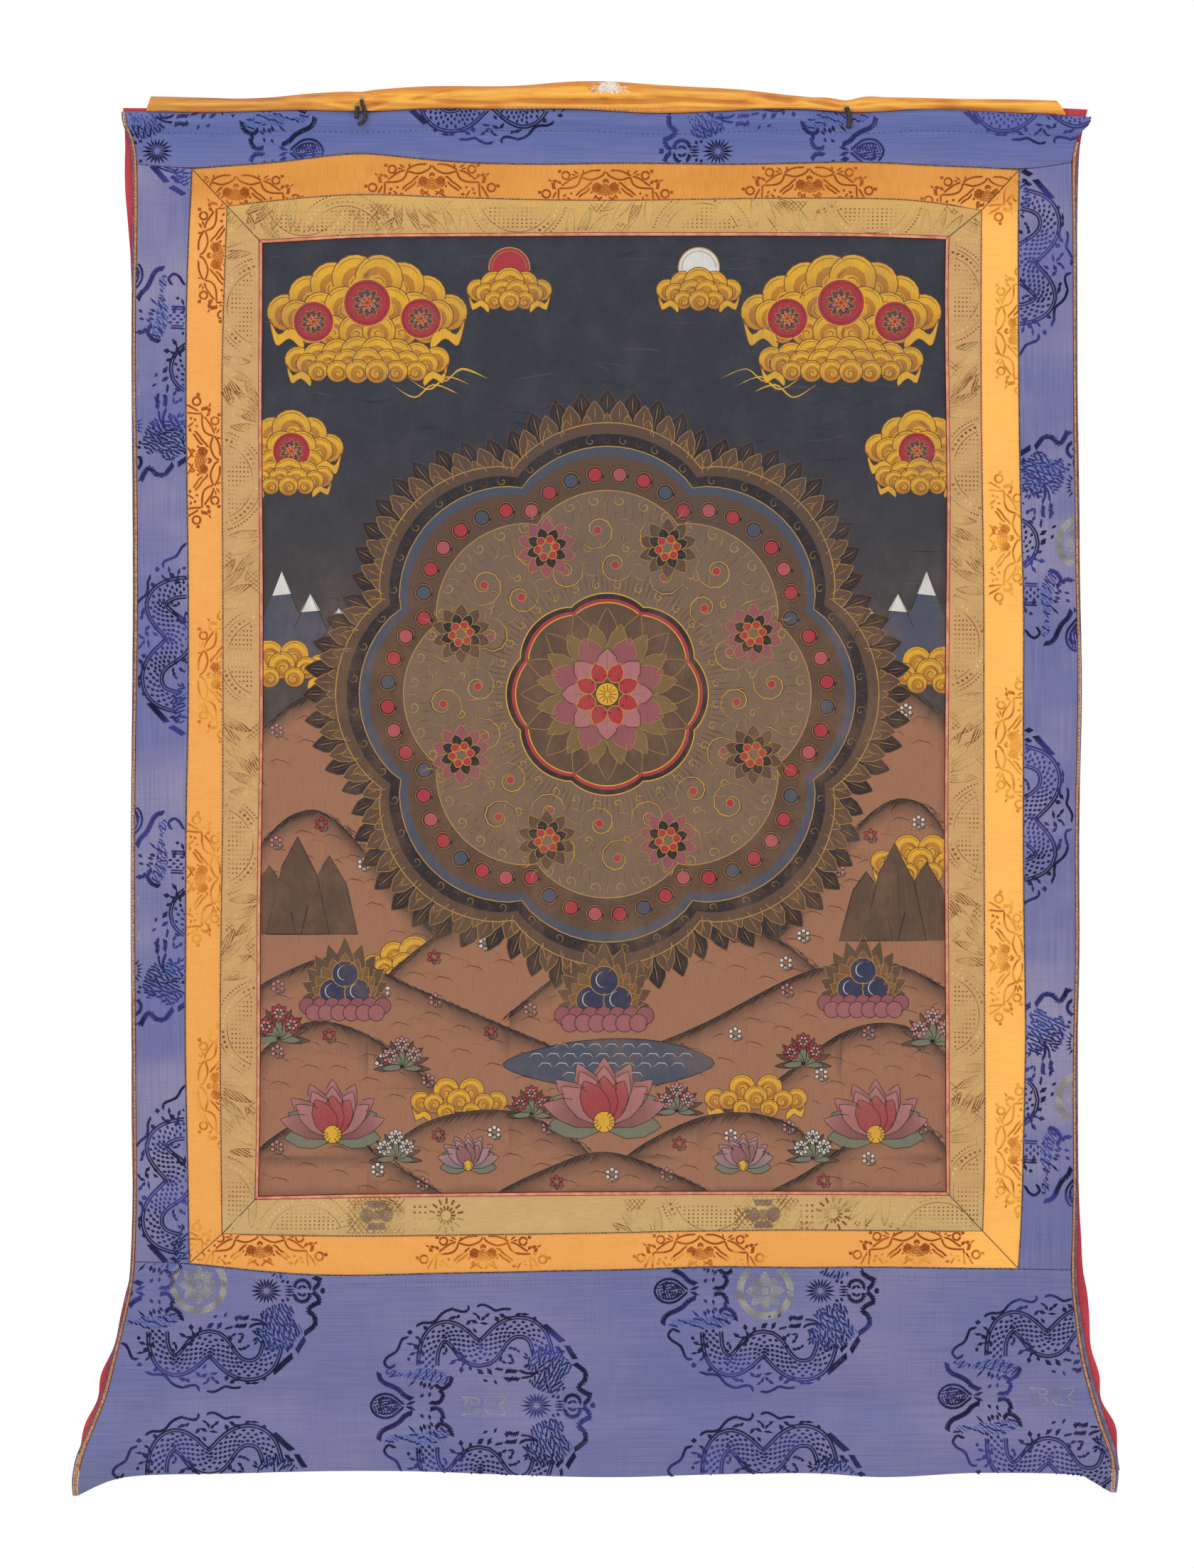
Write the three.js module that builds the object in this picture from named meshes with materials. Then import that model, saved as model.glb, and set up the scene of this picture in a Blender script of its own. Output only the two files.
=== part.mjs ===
// Thangka scroll painting, hanging by its heading, with its silk veil thrown back over the top.
// Millimetres, +Z up; the painted front faces -Y and +X is to its right.
// The origin is the middle of the heading's top edge, where the scroll is held up.

import * as THREE from "three";

// Driving sizes
const sewingGap = 0.3; // left between two pieces that are sewn together
const frontThickness = 1.2; // brocade or canvas with its interlining
const liningThickness = 1.0;
const liningGap = 1.0; // the lining hangs a little free of the front
const veilThickness = 1.0;
const veilBack = 5.7; // middle of the veil's hanging side, behind the front of the scroll
const edgingWidth = 2.0; // folded edging round the canvas
const edgingProud = 0.4;
const pipingProud = 0.5;
const casingDepth = 13; // height of the heading's turned-over casing
const casingProud = 2.0;
const casingRound = 0.7; // how far the casing's top edge turns back
const hemDepth = 8; // height of the turned-up hem
const hemProud = 1.1;
const thongRadius = 1.15;
const thongSides = 8;

// Numbers of cells
const frameAcross = 20; // along the top and bottom of the frames
const frameDown = 18; // along their sides
const sideAcross = 2; // across a blue side panel
const headingRows = [0, 0.04, 0.12, 0.22, 0.31, 0.38, 0.55, 0.78, 1];
const skirtRows = [0, 0.1, 0.22, 0.34, 0.45, 0.54, 0.6, 0.66, 0.72, 0.78, 0.84, 0.9, 0.95, 1];
const liningRows = [0, 0.14, 0.29, 0.43, 0.57, 0.71, 0.86, 1];

// Outer edges of each layer on the left side, by height
const leftEdges = table("z lining binding piping cloth", [
  [3, -304.9, -305.2, -304.2, -302.4],
  [-2, -305.4, -305.9, -304.8, -302.9],
  [-9, -304.6, -305.0, -303.9, -302.0],
  [-16, -301.9, -301.6, -300.6, -298.8],
  [-25, -300.7, -299.4, -298.4, -296.6],
  [-47, -301.1, -298.3, -297.3, -295.3],
  [-70, -301.4, -298.5, -297.5, -295.4],
  [-92, -298.7, -299.4, -298.4, -296.6],
  [-160, -298.7, -299.5, -298.5, -296.9],
  [-250, -298.2, -298.8, -297.6, -295.6],
  [-317, -297.8, -298.4, -297.2, -295.2],
  [-385, -298.3, -299.0, -298.0, -296.4],
  [-500, -299.1, -299.8, -298.8, -297.2],
  [-587, -298.6, -299.4, -298.4, -296.7],
  [-700, -297.8, -298.6, -297.6, -296.0],
  [-745, -300.6, -301.4, -300.4, -298.8],
  [-767, -307.0, -306.4, -305.4, -303.6],
  [-790, -314.1, -312.2, -311.2, -309.2],
  [-812, -320.9, -317.9, -316.8, -314.4],
  [-835, -328.1, -326.5, -325.5, -323.0],
  [-857, -334.8, -335.2, -334.0, -330.9],
  [-871, -335.4, -336.4, -335.3, -332.6],
  [-878, -334.4, -335.4, -334.4, -332.2],
]);

// The same on the right side, where the heading ends in a plain round ear
const rightEdges = table("z cloth piping binding lining", [
  [3, 306.6, 308.6, 309.6, 306.2],
  [-4, 307.9, 309.6, 310.6, 307.2],
  [-7, 308.4, 309.6, 310.6, 307.4],
  [-10, 306.6, 308.6, 309.6, 305.6],
  [-13, 303.3, 305.3, 306.3, 303.0],
  [-16, 300.4, 302.6, 303.6, 301.4],
  [-25, 297.5, 299.7, 300.8, 301.3],
  [-36, 295.9, 298.0, 299.1, 300.4],
  [-47, 295.7, 297.7, 298.7, 300.1],
  [-70, 297.0, 298.8, 299.8, 299.0],
  [-180, 297.2, 298.9, 299.9, 299.2],
  [-250, 298.2, 299.9, 300.9, 301.5],
  [-317, 298.9, 300.6, 301.6, 301.2],
  [-362, 300.2, 301.9, 302.9, 302.2],
  [-452, 298.0, 299.7, 300.7, 300.0],
  [-540, 298.4, 300.1, 301.1, 300.4],
  [-587, 297.0, 298.7, 299.7, 299.0],
  [-632, 296.7, 298.4, 299.4, 300.0],
  [-677, 297.8, 299.5, 300.5, 301.6],
  [-722, 295.7, 297.5, 298.8, 301.2],
  [-745, 296.2, 298.0, 299.5, 302.3],
  [-767, 298.6, 300.5, 302.5, 307.0],
  [-790, 301.6, 303.6, 306.0, 311.4],
  [-812, 307.2, 309.3, 312.0, 316.3],
  [-835, 313.6, 315.9, 318.8, 324.6],
  [-857, 320.7, 322.8, 325.2, 327.6],
  [-867, 320.6, 322.7, 324.9, 326.6],
  [-876, 320.0, 322.0, 323.6, 324.6],
]);

// Upright seams of the two brocade frames and the canvas, by height
const uprightSeams = table("z orangeL oliveL canvasL canvasR oliveR orangeR", [
  [-36, -261.0, -238.0, -216.2, 216.6, 239.2, 263.0],
  [-70, -262.8, -238.9, -216.4, 216.5, 238.9, 262.4],
  [-115, -264.6, -240.7, -216.4, 215.7, 238.5, 262.4],
  [-182, -265.0, -242.1, -216.9, 216.4, 238.6, 262.8],
  [-250, -264.1, -241.6, -216.4, 217.2, 239.4, 263.7],
  [-317, -263.3, -241.2, -216.0, 216.5, 240.3, 265.9],
  [-385, -263.3, -241.2, -216.0, 216.0, 240.3, 265.5],
  [-452, -265.0, -241.4, -216.9, 215.6, 240.4, 265.5],
  [-520, -265.0, -242.5, -217.8, 216.0, 240.7, 265.9],
  [-587, -265.5, -243.0, -217.8, 216.4, 240.8, 267.2],
  [-655, -264.1, -242.5, -218.3, 216.5, 241.1, 265.5],
  [-700, -263.3, -242.1, -219.2, 216.9, 239.9, 264.9],
  [-734, -262.8, -241.6, -219.4, 217.0, 239.2, 262.6],
]);

// Level seams, by distance from the middle
const levelSeams = table("x orangeT oliveT canvasT canvasB oliveB orangeB", [
  [-300, -33.6, -63.4, -87.0, -689.0, -711.4, -729.3],
  [-262, -36.9, -62.8, -85.6, -688.6, -711.7, -730.8],
  [-238, -35.0, -60.8, -84.8, -688.3, -711.9, -733.5],
  [-216, -33.8, -58.0, -84.1, -688.1, -712.3, -735.8],
  [-189, -30.6, -55.4, -82.6, -687.4, -712.8, -738.0],
  [-153, -26.4, -53.1, -80.6, -686.7, -713.2, -738.5],
  [-117, -31.0, -54.5, -80.1, -686.3, -712.8, -737.1],
  [-67, -33.9, -56.2, -79.9, -685.8, -712.1, -736.4],
  [-27, -34.2, -57.0, -79.7, -685.4, -711.6, -735.3],
  [9, -33.3, -57.2, -79.6, -685.2, -711.0, -734.9],
  [45, -33.8, -56.7, -79.6, -685.0, -710.1, -733.5],
  [81, -34.2, -56.2, -79.6, -684.9, -709.6, -732.6],
  [117, -33.8, -55.8, -79.7, -684.9, -709.2, -733.5],
  [153, -32.4, -55.8, -79.8, -685.0, -709.4, -733.1],
  [189, -33.8, -56.5, -80.8, -685.2, -709.7, -733.1],
  [217, -35.4, -59.5, -81.9, -685.4, -710.1, -733.8],
  [239, -36.0, -63.4, -83.5, -685.5, -710.1, -734.0],
  [263, -37.5, -65.5, -85.0, -685.6, -710.0, -734.2],
  [300, -32.4, -66.0, -86.0, -685.8, -709.8, -734.6],
]);

// The heading's top edge and the veil's crest above it
const topEdges = table("x crest heading", [
  [-304, 9.2, -0.6],
  [-290, 9.3, -0.6],
  [-261, 8.6, -1.3],
  [-235, 7.9, -1.2],
  [-207, 9.0, 0.0],
  [-171, 12.6, 0.4],
  [-153, 12.2, -1.4],
  [-135, 14.4, -0.4],
  [-99, 16.2, 1.7],
  [-63, 14.9, 0.2],
  [-27, 18.5, 0.9],
  [0, 19.3, 0.0],
  [27, 17.1, -2.2],
  [63, 14.9, -1.3],
  [99, 13.5, 0.9],
  [117, 10.4, 1.3],
  [135, 8.6, 0.5],
  [153, 7.6, -3.1],
  [171, 9.4, -0.4],
  [207, 8.6, 0.9],
  [243, 7.8, -0.5],
  [270, 8.0, -1.8],
  [290, 7.2, -2.9],
  [309, 6.4, -3.9],
]);

// The skirt's hem, between its two drooping tips
const hemEdge = table("x hem", [
  [-333, -876.5],
  [-324, -872.5],
  [-315, -867.2],
  [-308, -865.3],
  [-297, -864.0],
  [-225, -863.6],
  [-189, -862.2],
  [-135, -862.2],
  [-63, -864.5],
  [9, -866.3],
  [45, -864.9],
  [99, -863.6],
  [150, -863.0],
  [171, -866.2],
  [189, -865.8],
  [225, -863.1],
  [281, -863.1],
  [292, -861.8],
  [304, -864.5],
  [315, -870.3],
  [321, -874.6],
]);

// How the veil runs over the crest: height as a share of the crest, and depth behind the front
const veilOver = table("side up back inLeft inRight", [
  [0, 0.0, 0.6, 0.0, 0.0],
  [1, 0.25, 0.0, 0.9, 1.0],
  [2, 0.55, -0.5, 2.0, 3.2],
  [3, 0.86, 0.6, 2.8, 5.4],
  [4, 1.0, 2.7, 3.2, 7.0],
  [5, 0.87, 4.7, 2.9, 6.0],
  [6, 0.45, 5.5, 2.4, 4.4],
  [7, 0.0, 5.7, 2.0, 3.2],
]);

// The veil's side edges where it hangs behind, down to its lower edge
const veilHang = table("z left right fold", [
  [-24, -288.4, 290.0, 0.3],
  [-80, -290.0, 290.6, 0.6],
  [-150, -291.6, 291.6, 1.0],
  [-225, -293.0, 292.6, 1.4],
  [-300, -294.2, 293.6, 1.7],
  [-375, -295.6, 294.6, 2.0],
  [-450, -297.0, 295.2, 2.2],
  [-525, -298.6, 296.0, 2.4],
  [-590, -300.0, 296.6, 2.5],
  [-650, -300.2, 297.0, 2.6],
  [-700, -298.8, 296.8, 2.6],
  [-716, -298.0, 296.4, 2.6],
]);

// Soft vertical folds of the hanging veil
const veilFolds = table("x width rise", [
  [-236, 34, 1.0],
  [-128, 44, 0.8],
  [-20, 50, 1.0],
  [96, 40, 0.7],
  [214, 36, 1.0],
]);

// Billows and rolls of the hung cloth: place, half width and half height, rise towards the viewer
const billows = table("x z wide high rise", [
  [10, -340, 230, 260, 3.0], // the canvas stands a little proud of its frame
  [-70, -120, 210, 70, -0.8], // a shallow hollow under the heading
  [-306, -420, 40, 220, 2.2], // the left edge curls forward
  [308, -510, 42, 240, 2.6], // the right edge curls forward
  [-300, -250, 46, 60, -1.0],
  [300, -655, 40, 60, -1.2],
  [0, -745, 420, 26, -1.0], // the skirt sets back under its seam
  [-70, -820, 330, 12, -2.6], // trough across the skirt
  [210, -823, 200, 12, -2.2],
  [40, -842, 420, 14, 3.6], // roll above the hem
  [-342, -874, 66, 56, 8.5], // left tip curls forward
  [-280, -800, 52, 54, -2.0],
  [340, -860, 66, 66, 7.5], // right tip curls forward
  [272, -790, 54, 60, -2.2],
  [-120, -862, 60, 40, -1.6],
  [172, -866, 44, 40, 2.4],
]);

// Tables and curves

// A table with named columns: one row for each section or fold
function table(columns, rows) {
  return { columns: columns.split(" "), rows };
}

// Each row of a table as an object with the columns' names
function entries({ columns, rows }) {
  return rows.map((row) => Object.fromEntries(columns.map((name, i) => [name, row[i]])));
}

// A smooth curve through one column of a table, over its first column, with no overshoot
function curve({ columns, rows }, name) {
  const column = columns.indexOf(name);
  const sorted = [...rows].sort((a, b) => a[0] - b[0]);
  const at = sorted.map((row) => row[0]);
  const value = sorted.map((row) => row[column]);
  const last = at.length - 1;
  const grade = at.slice(1).map((end, i) => (value[i + 1] - value[i]) / (end - at[i]));
  const slope = at.map((_, i) => {
    if (i === 0) return grade[0];
    if (i === last) return grade[last - 1];
    const [before, after] = [grade[i - 1], grade[i]];
    return before * after > 0 ? (2 * before * after) / (before + after) : 0;
  });
  return (place) => {
    if (place <= at[0]) return value[0];
    if (place >= at[last]) return value[last];
    const i = at.findIndex((end) => end > place) - 1;
    const width = at[i + 1] - at[i];
    const t = (place - at[i]) / width;
    const ease = t * t * (3 - 2 * t);
    const leave = t * (1 - t) * (1 - t) * width * slope[i];
    const arrive = t * t * (1 - t) * width * slope[i + 1];
    return value[i] + (value[i + 1] - value[i]) * ease + leave - arrive;
  };
}

const mix = (a, b, t) => a + (b - a) * t;
const steps = (count) => Array.from({ length: count + 1 }, (_, i) => i / count);

const headingEdge = curve(topEdges, "heading");
const crestEdge = curve(topEdges, "crest");
const hem = curve(hemEdge, "hem");
const leftEdge = (name) => curve(leftEdges, name);
const rightEdge = (name) => curve(rightEdges, name);

// Depth of the hung cloth: its front surface lies at this y
const billowList = entries(billows);

function hang(x, z) {
  let y = 0;
  for (const { x: middle, z: height, wide, high, rise } of billowList) {
    y -= rise * Math.exp(-(((x - middle) / wide) ** 2) - ((z - height) / high) ** 2);
  }
  return y;
}

const depthAtOrigin = hang(0, 0);
const depth = (x, z) => hang(x, z) - depthAtOrigin;

// How far the heading's casing and the hem stand proud, as soft rolls
function casingRoll(x, z) {
  const down = (headingEdge(x) - z) / casingDepth;
  const roll = down > 1 ? 0 : casingProud * Math.sin(Math.PI * Math.max(down, 0));
  return roll - casingRound * Math.exp(-((down * 6) ** 2));
}

function hemRoll(x, z) {
  const up = (z - hem(x)) / hemDepth;
  return up > 1 ? 0 : hemProud * Math.sin(Math.PI * Math.min(0.2 + 0.8 * Math.max(up, 0), 1));
}

// Seams and corners, as places [x, z]

// Where an upright curve (x by height) meets a level one (z by distance)
function meet(upright, level, startHeight) {
  let z = startHeight;
  for (let pass = 0; pass < 12; pass += 1) z = level(upright(z));
  return [upright(z), z];
}

// Points along a level seam between two corners, and along an upright one
const alongLevel = (level, from, to, shares) =>
  shares.map((share) => {
    const x = mix(from[0], to[0], share);
    return [x, share === 0 ? from[1] : share === 1 ? to[1] : level(x)];
  });

const alongUpright = (upright, from, to, shares) =>
  shares.map((share) => {
    const z = mix(from[1], to[1], share);
    return [share === 0 ? from[0] : share === 1 ? to[0] : upright(z), z];
  });

// One closed ring of four seams, with the same number of points on each ring
function ring(left, right, top, bottom) {
  const corners = {
    topLeft: meet(left, top, -60),
    topRight: meet(right, top, -60),
    bottomLeft: meet(left, bottom, -710),
    bottomRight: meet(right, bottom, -710),
  };
  const { topLeft, topRight, bottomLeft, bottomRight } = corners;
  return {
    ...corners,
    top: alongLevel(top, topLeft, topRight, steps(frameAcross)),
    bottom: alongLevel(bottom, bottomLeft, bottomRight, steps(frameAcross)),
    left: alongUpright(left, topLeft, bottomLeft, steps(frameDown)),
    right: alongUpright(right, topRight, bottomRight, steps(frameDown)),
  };
}

const upright = (name, out = 0) => {
  const seam = curve(uprightSeams, name);
  return (z) => seam(z) + out;
};
const level = (name, up = 0) => {
  const seam = curve(levelSeams, name);
  return (x) => seam(x) + up;
};

const orangeRing = ring(
  upright("orangeL"),
  upright("orangeR"),
  level("orangeT"),
  level("orangeB"),
);
const oliveRing = ring(upright("oliveL"), upright("oliveR"), level("oliveT"), level("oliveB"));
const edgingRing = ring(
  upright("canvasL", -edgingWidth),
  upright("canvasR", edgingWidth),
  level("canvasT", edgingWidth),
  level("canvasB", -edgingWidth),
);
const canvasRing = ring(
  upright("canvasL"),
  upright("canvasR"),
  level("canvasT"),
  level("canvasB"),
);

// Sheets

// The inside of an outline that is drawn in by half the sewing gap at every point
function drawnIn(outline) {
  const reach = sewingGap / 2;
  const count = outline.length;
  const inward = outline.map(([x, z], i) => {
    const [nextX, nextZ] = outline[(i + 1) % count];
    const length = Math.hypot(nextX - x, nextZ - z);
    return [(nextZ - z) / length, -(nextX - x) / length];
  });
  return outline.map(([x, z], i) => {
    const [a, b] = [inward[(i + count - 1) % count], inward[i]];
    const spread = 1 + a[0] * b[0] + a[1] * b[1];
    return [x + (reach * (a[0] + b[0])) / spread, z + (reach * (a[1] + b[1])) / spread];
  });
}

// A grid of places between four seams: top and bottom run to the right, left and right run down
function panelGrid({ top, bottom, left, right }) {
  const columns = top.length - 1;
  const rows = left.length - 1;
  const outline = drawnIn([
    ...top.slice(0, columns),
    ...right.slice(0, rows),
    ...bottom.slice(1).reverse(),
    ...left.slice(1).reverse(),
  ]);
  const pick = (i) => outline[i % outline.length];
  const topIn = top.map((_, i) => pick(i));
  const rightIn = right.map((_, j) => pick(columns + j));
  const bottomIn = bottom.map((_, i) => pick(2 * columns + rows - i));
  const leftIn = left.map((_, j) => pick(2 * columns + 2 * rows - j));
  const share = (line, k) => (i) =>
    (line[i][k] - line[0][k]) / (line[line.length - 1][k] - line[0][k]);
  return leftIn.map((_, j) =>
    topIn.map((_, i) => {
      const u = mix(share(topIn, 0)(i), share(bottomIn, 0)(i), j / rows);
      const v = mix(share(leftIn, 1)(j), share(rightIn, 1)(j), i / columns);
      return [0, 1].map(
        (k) =>
          mix(topIn[i][k], bottomIn[i][k], v) +
          mix(leftIn[j][k], rightIn[j][k], u) -
          mix(mix(topIn[0][k], topIn[columns][k], u), mix(bottomIn[0][k], bottomIn[columns][k], u), v),
      );
    }),
  );
}

// A closed sheet between a grid of front points and a grid of back points
function sheetGeometry(front, back) {
  const rows = front.length;
  const columns = front[0].length;
  const points = [...front.flat(), ...back.flat()];
  const frontPoint = (j, i) => j * columns + i;
  const backPoint = (j, i) => rows * columns + j * columns + i;
  const triangles = [];
  const quad = (a, b, c, d) => triangles.push(a, b, c, a, c, d);
  for (let j = 0; j < rows - 1; j += 1) {
    for (let i = 0; i < columns - 1; i += 1) {
      quad(frontPoint(j, i), frontPoint(j + 1, i), frontPoint(j + 1, i + 1), frontPoint(j, i + 1));
      quad(backPoint(j, i), backPoint(j, i + 1), backPoint(j + 1, i + 1), backPoint(j + 1, i));
    }
    const end = columns - 1;
    quad(frontPoint(j, 0), backPoint(j, 0), backPoint(j + 1, 0), frontPoint(j + 1, 0));
    quad(frontPoint(j, end), frontPoint(j + 1, end), backPoint(j + 1, end), backPoint(j, end));
  }
  for (let i = 0; i < columns - 1; i += 1) {
    const end = rows - 1;
    quad(frontPoint(0, i), frontPoint(0, i + 1), backPoint(0, i + 1), backPoint(0, i));
    quad(frontPoint(end, i), backPoint(end, i), backPoint(end, i + 1), frontPoint(end, i + 1));
  }
  const geometry = new THREE.BufferGeometry();
  const position = new Float32Array(points.flatMap((point) => point.toArray()));
  geometry.setAttribute("position", new THREE.BufferAttribute(position, 3));
  geometry.setIndex(triangles);
  geometry.computeVertexNormals();
  return geometry;
}

// A cloth panel on the hung surface; proud is how far its front stands out there
function panelGeometry(seams, proud = () => 0) {
  const grid = panelGrid(seams);
  const front = grid.map((row) =>
    row.map(([x, z]) => new THREE.Vector3(x, depth(x, z) - proud(x, z), z)),
  );
  const back = grid.map((row) =>
    row.map(([x, z]) => new THREE.Vector3(x, depth(x, z) + frontThickness, z)),
  );
  return sheetGeometry(front, back);
}

// The strip on one side of a frame, between its outer and inner ring, mitred at both ends
function frameStrip(side, outer, inner) {
  const first = { top: "topLeft", bottom: "bottomLeft", left: "topLeft", right: "topRight" }[side];
  const last = { top: "topRight", bottom: "bottomRight", left: "bottomLeft", right: "bottomRight" }[
    side
  ];
  const ends = [
    [outer[first], inner[first]],
    [outer[last], inner[last]],
  ];
  if (side === "top") {
    return { top: outer.top, bottom: inner.top, left: ends[0], right: ends[1] };
  }
  if (side === "bottom") {
    return {
      top: inner.bottom,
      bottom: outer.bottom,
      left: [...ends[0]].reverse(),
      right: [...ends[1]].reverse(),
    };
  }
  if (side === "left") {
    return { top: ends[0], bottom: ends[1], left: outer.left, right: inner.left };
  }
  return {
    top: [...ends[0]].reverse(),
    bottom: [...ends[1]].reverse(),
    left: inner.right,
    right: outer.right,
  };
}

// The scene graph

const group = new THREE.Group();

const cloths = {
  canvas: new THREE.MeshStandardMaterial({ color: 0x6b4a3c, roughness: 0.85, metalness: 0 }),
  edging: new THREE.MeshStandardMaterial({ color: 0xb5603f, roughness: 0.7, metalness: 0 }),
  olive: new THREE.MeshStandardMaterial({ color: 0xb59a5e, roughness: 0.5, metalness: 0 }),
  orange: new THREE.MeshStandardMaterial({ color: 0xe5a04a, roughness: 0.45, metalness: 0 }),
  blue: new THREE.MeshStandardMaterial({ color: 0x5c63a3, roughness: 0.5, metalness: 0 }),
  piping: new THREE.MeshStandardMaterial({ color: 0xb0794f, roughness: 0.7, metalness: 0 }),
  lining: new THREE.MeshStandardMaterial({ color: 0xb5323b, roughness: 0.8, metalness: 0 }),
  veil: new THREE.MeshStandardMaterial({ color: 0xe7a33c, roughness: 0.35, metalness: 0 }),
  thong: new THREE.MeshStandardMaterial({ color: 0x2a2026, roughness: 0.6, metalness: 0 }),
};

function add(name, geometry, material) {
  const mesh = new THREE.Mesh(geometry, material);
  mesh.name = name;
  group.add(mesh);
}

// Painted canvas, its folded edging, and the two brocade frames with mitred corners
add("canvas", panelGeometry(canvasRing), cloths.canvas);
const frames = [
  { name: "edging", outer: edgingRing, inner: canvasRing, proud: edgingProud },
  { name: "olive", outer: oliveRing, inner: edgingRing, proud: 0 },
  { name: "orange", outer: orangeRing, inner: oliveRing, proud: 0 },
];
for (const { name, outer, inner, proud } of frames) {
  for (const side of ["top", "right", "bottom", "left"]) {
    const strip = panelGeometry(frameStrip(side, outer, inner), () => proud);
    add(`${name}_${side}`, strip, cloths[name]);
  }
}

// Corners of the blue mount, where its heading, side panels and skirt meet
const clothLeft = leftEdge("cloth");
const clothRight = rightEdge("cloth");
const seamTop = level("orangeT");
const seamBottom = level("orangeB");
const headingLeft = meet(clothLeft, headingEdge, 0);
const headingRight = meet(clothRight, headingEdge, 0);
const shoulderLeft = meet(clothLeft, seamTop, -34);
const shoulderRight = meet(clothRight, seamTop, -34);
const hipLeft = meet(clothLeft, seamBottom, -730);
const hipRight = meet(clothRight, seamBottom, -734);
const tipLeft = [clothLeft(-876.5), -876.5];
const tipRight = [clothRight(-874.6), -874.6];

// Level seams of the heading and the skirt, through the corners of the orange frame
const acrossSide = steps(sideAcross);
const topOfLeft = alongLevel(seamTop, shoulderLeft, orangeRing.topLeft, acrossSide);
const topOfRight = alongLevel(seamTop, orangeRing.topRight, shoulderRight, acrossSide);
const footOfLeft = alongLevel(seamBottom, hipLeft, orangeRing.bottomLeft, acrossSide);
const footOfRight = alongLevel(seamBottom, orangeRing.bottomRight, hipRight, acrossSide);
const headingSeam = [...topOfLeft, ...orangeRing.top.slice(1, -1), ...topOfRight];
const skirtSeam = [...footOfLeft, ...orangeRing.bottom.slice(1, -1), ...footOfRight];

// Places of the veil's columns, which the heading's top edge shares
const veilFoot = { left: -290.3, right: 292.6 };
const veilShares = steps(headingSeam.length - 3);
const veilColumns = veilShares.map((share) => mix(veilFoot.left, veilFoot.right, share));
const headingTop = [
  headingLeft,
  ...veilColumns.map((x) => [x, headingEdge(x)]),
  headingRight,
];

// Blue heading with its casing, the two side panels and the flared skirt
const headingPanel = {
  top: headingTop,
  bottom: headingSeam,
  left: alongUpright(clothLeft, headingLeft, shoulderLeft, headingRows),
  right: alongUpright(clothRight, headingRight, shoulderRight, headingRows),
};
const sideLeftPanel = {
  top: topOfLeft,
  bottom: footOfLeft,
  left: alongUpright(clothLeft, shoulderLeft, hipLeft, steps(frameDown)),
  right: orangeRing.left,
};
const sideRightPanel = {
  top: topOfRight,
  bottom: footOfRight,
  left: orangeRing.right,
  right: alongUpright(clothRight, shoulderRight, hipRight, steps(frameDown)),
};
const skirtShares = skirtSeam.map(([x]) => (x - hipLeft[0]) / (hipRight[0] - hipLeft[0]));
const skirtPanel = {
  top: skirtSeam,
  bottom: alongLevel(hem, tipLeft, tipRight, skirtShares),
  left: alongUpright(clothLeft, hipLeft, tipLeft, skirtRows),
  right: alongUpright(clothRight, hipRight, tipRight, skirtRows),
};
add("heading", panelGeometry(headingPanel, casingRoll), cloths.blue);
add("side_left", panelGeometry(sideLeftPanel), cloths.blue);
add("side_right", panelGeometry(sideRightPanel), cloths.blue);
add("skirt", panelGeometry(skirtPanel, hemRoll), cloths.blue);

// Tan piping along both sides, and the narrow blue binding outside it
const pipingStartRight = -16; // the piping stops under the right ear
const heights = (panel, side) => panel[side].map(([, z]) => z);
const leftHeights = [
  ...heights(headingPanel, "left"),
  ...heights(sideLeftPanel, "left").slice(1),
  ...heights(skirtPanel, "left").slice(1),
];
const rightHeights = [
  ...heights(headingPanel, "right"),
  ...heights(sideRightPanel, "right").slice(1),
  ...heights(skirtPanel, "right").slice(1),
].filter((z) => z < pipingStartRight);

// A narrow upright strip between two edges at the given heights
function uprightStrip(leftSide, rightSide, stripHeights) {
  const left = stripHeights.map((z) => [leftSide(z), z]);
  const right = stripHeights.map((z) => [rightSide(z), z]);
  const end = stripHeights.length - 1;
  return { left, right, top: [left[0], right[0]], bottom: [left[end], right[end]] };
}

const pipingRoll = () => pipingProud;
const strips = [
  ["piping_left", leftEdge("piping"), clothLeft, leftHeights, pipingRoll, cloths.piping],
  ["piping_right", clothRight, rightEdge("piping"), rightHeights, pipingRoll, cloths.piping],
  ["binding_left", leftEdge("binding"), leftEdge("piping"), leftHeights, () => 0, cloths.blue],
  ["binding_right", rightEdge("piping"), rightEdge("binding"), rightHeights, () => 0, cloths.blue],
];
for (const [name, leftSide, rightSide, stripHeights, proud, material] of strips) {
  add(name, panelGeometry(uprightStrip(leftSide, rightSide, stripHeights), proud), material);
}

// Red lining: one sheet behind the whole front, with its own wavy outline
const liningTopRise = { left: 2.4, right: 4.4 }; // it stands above the heading's top edge
const liningHemRise = 3.0; // and ends above the hem
const liningLeft = leftEdge("lining");
const liningRight = rightEdge("lining");
const liningMiddleTop = -40;
const liningMiddleFoot = -728;

function liningHeights(x, share) {
  const top = headingEdge(x) + mix(liningTopRise.left, liningTopRise.right, share);
  const foot = hem(x) + liningHemRise;
  const middle = liningRows.map((part) => mix(liningMiddleTop, liningMiddleFoot, part));
  const skirt = skirtRows.slice(1).map((part) => mix(liningMiddleFoot, foot, part));
  return [top, mix(top, liningMiddleTop, 0.5), ...middle, ...skirt];
}

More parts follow.
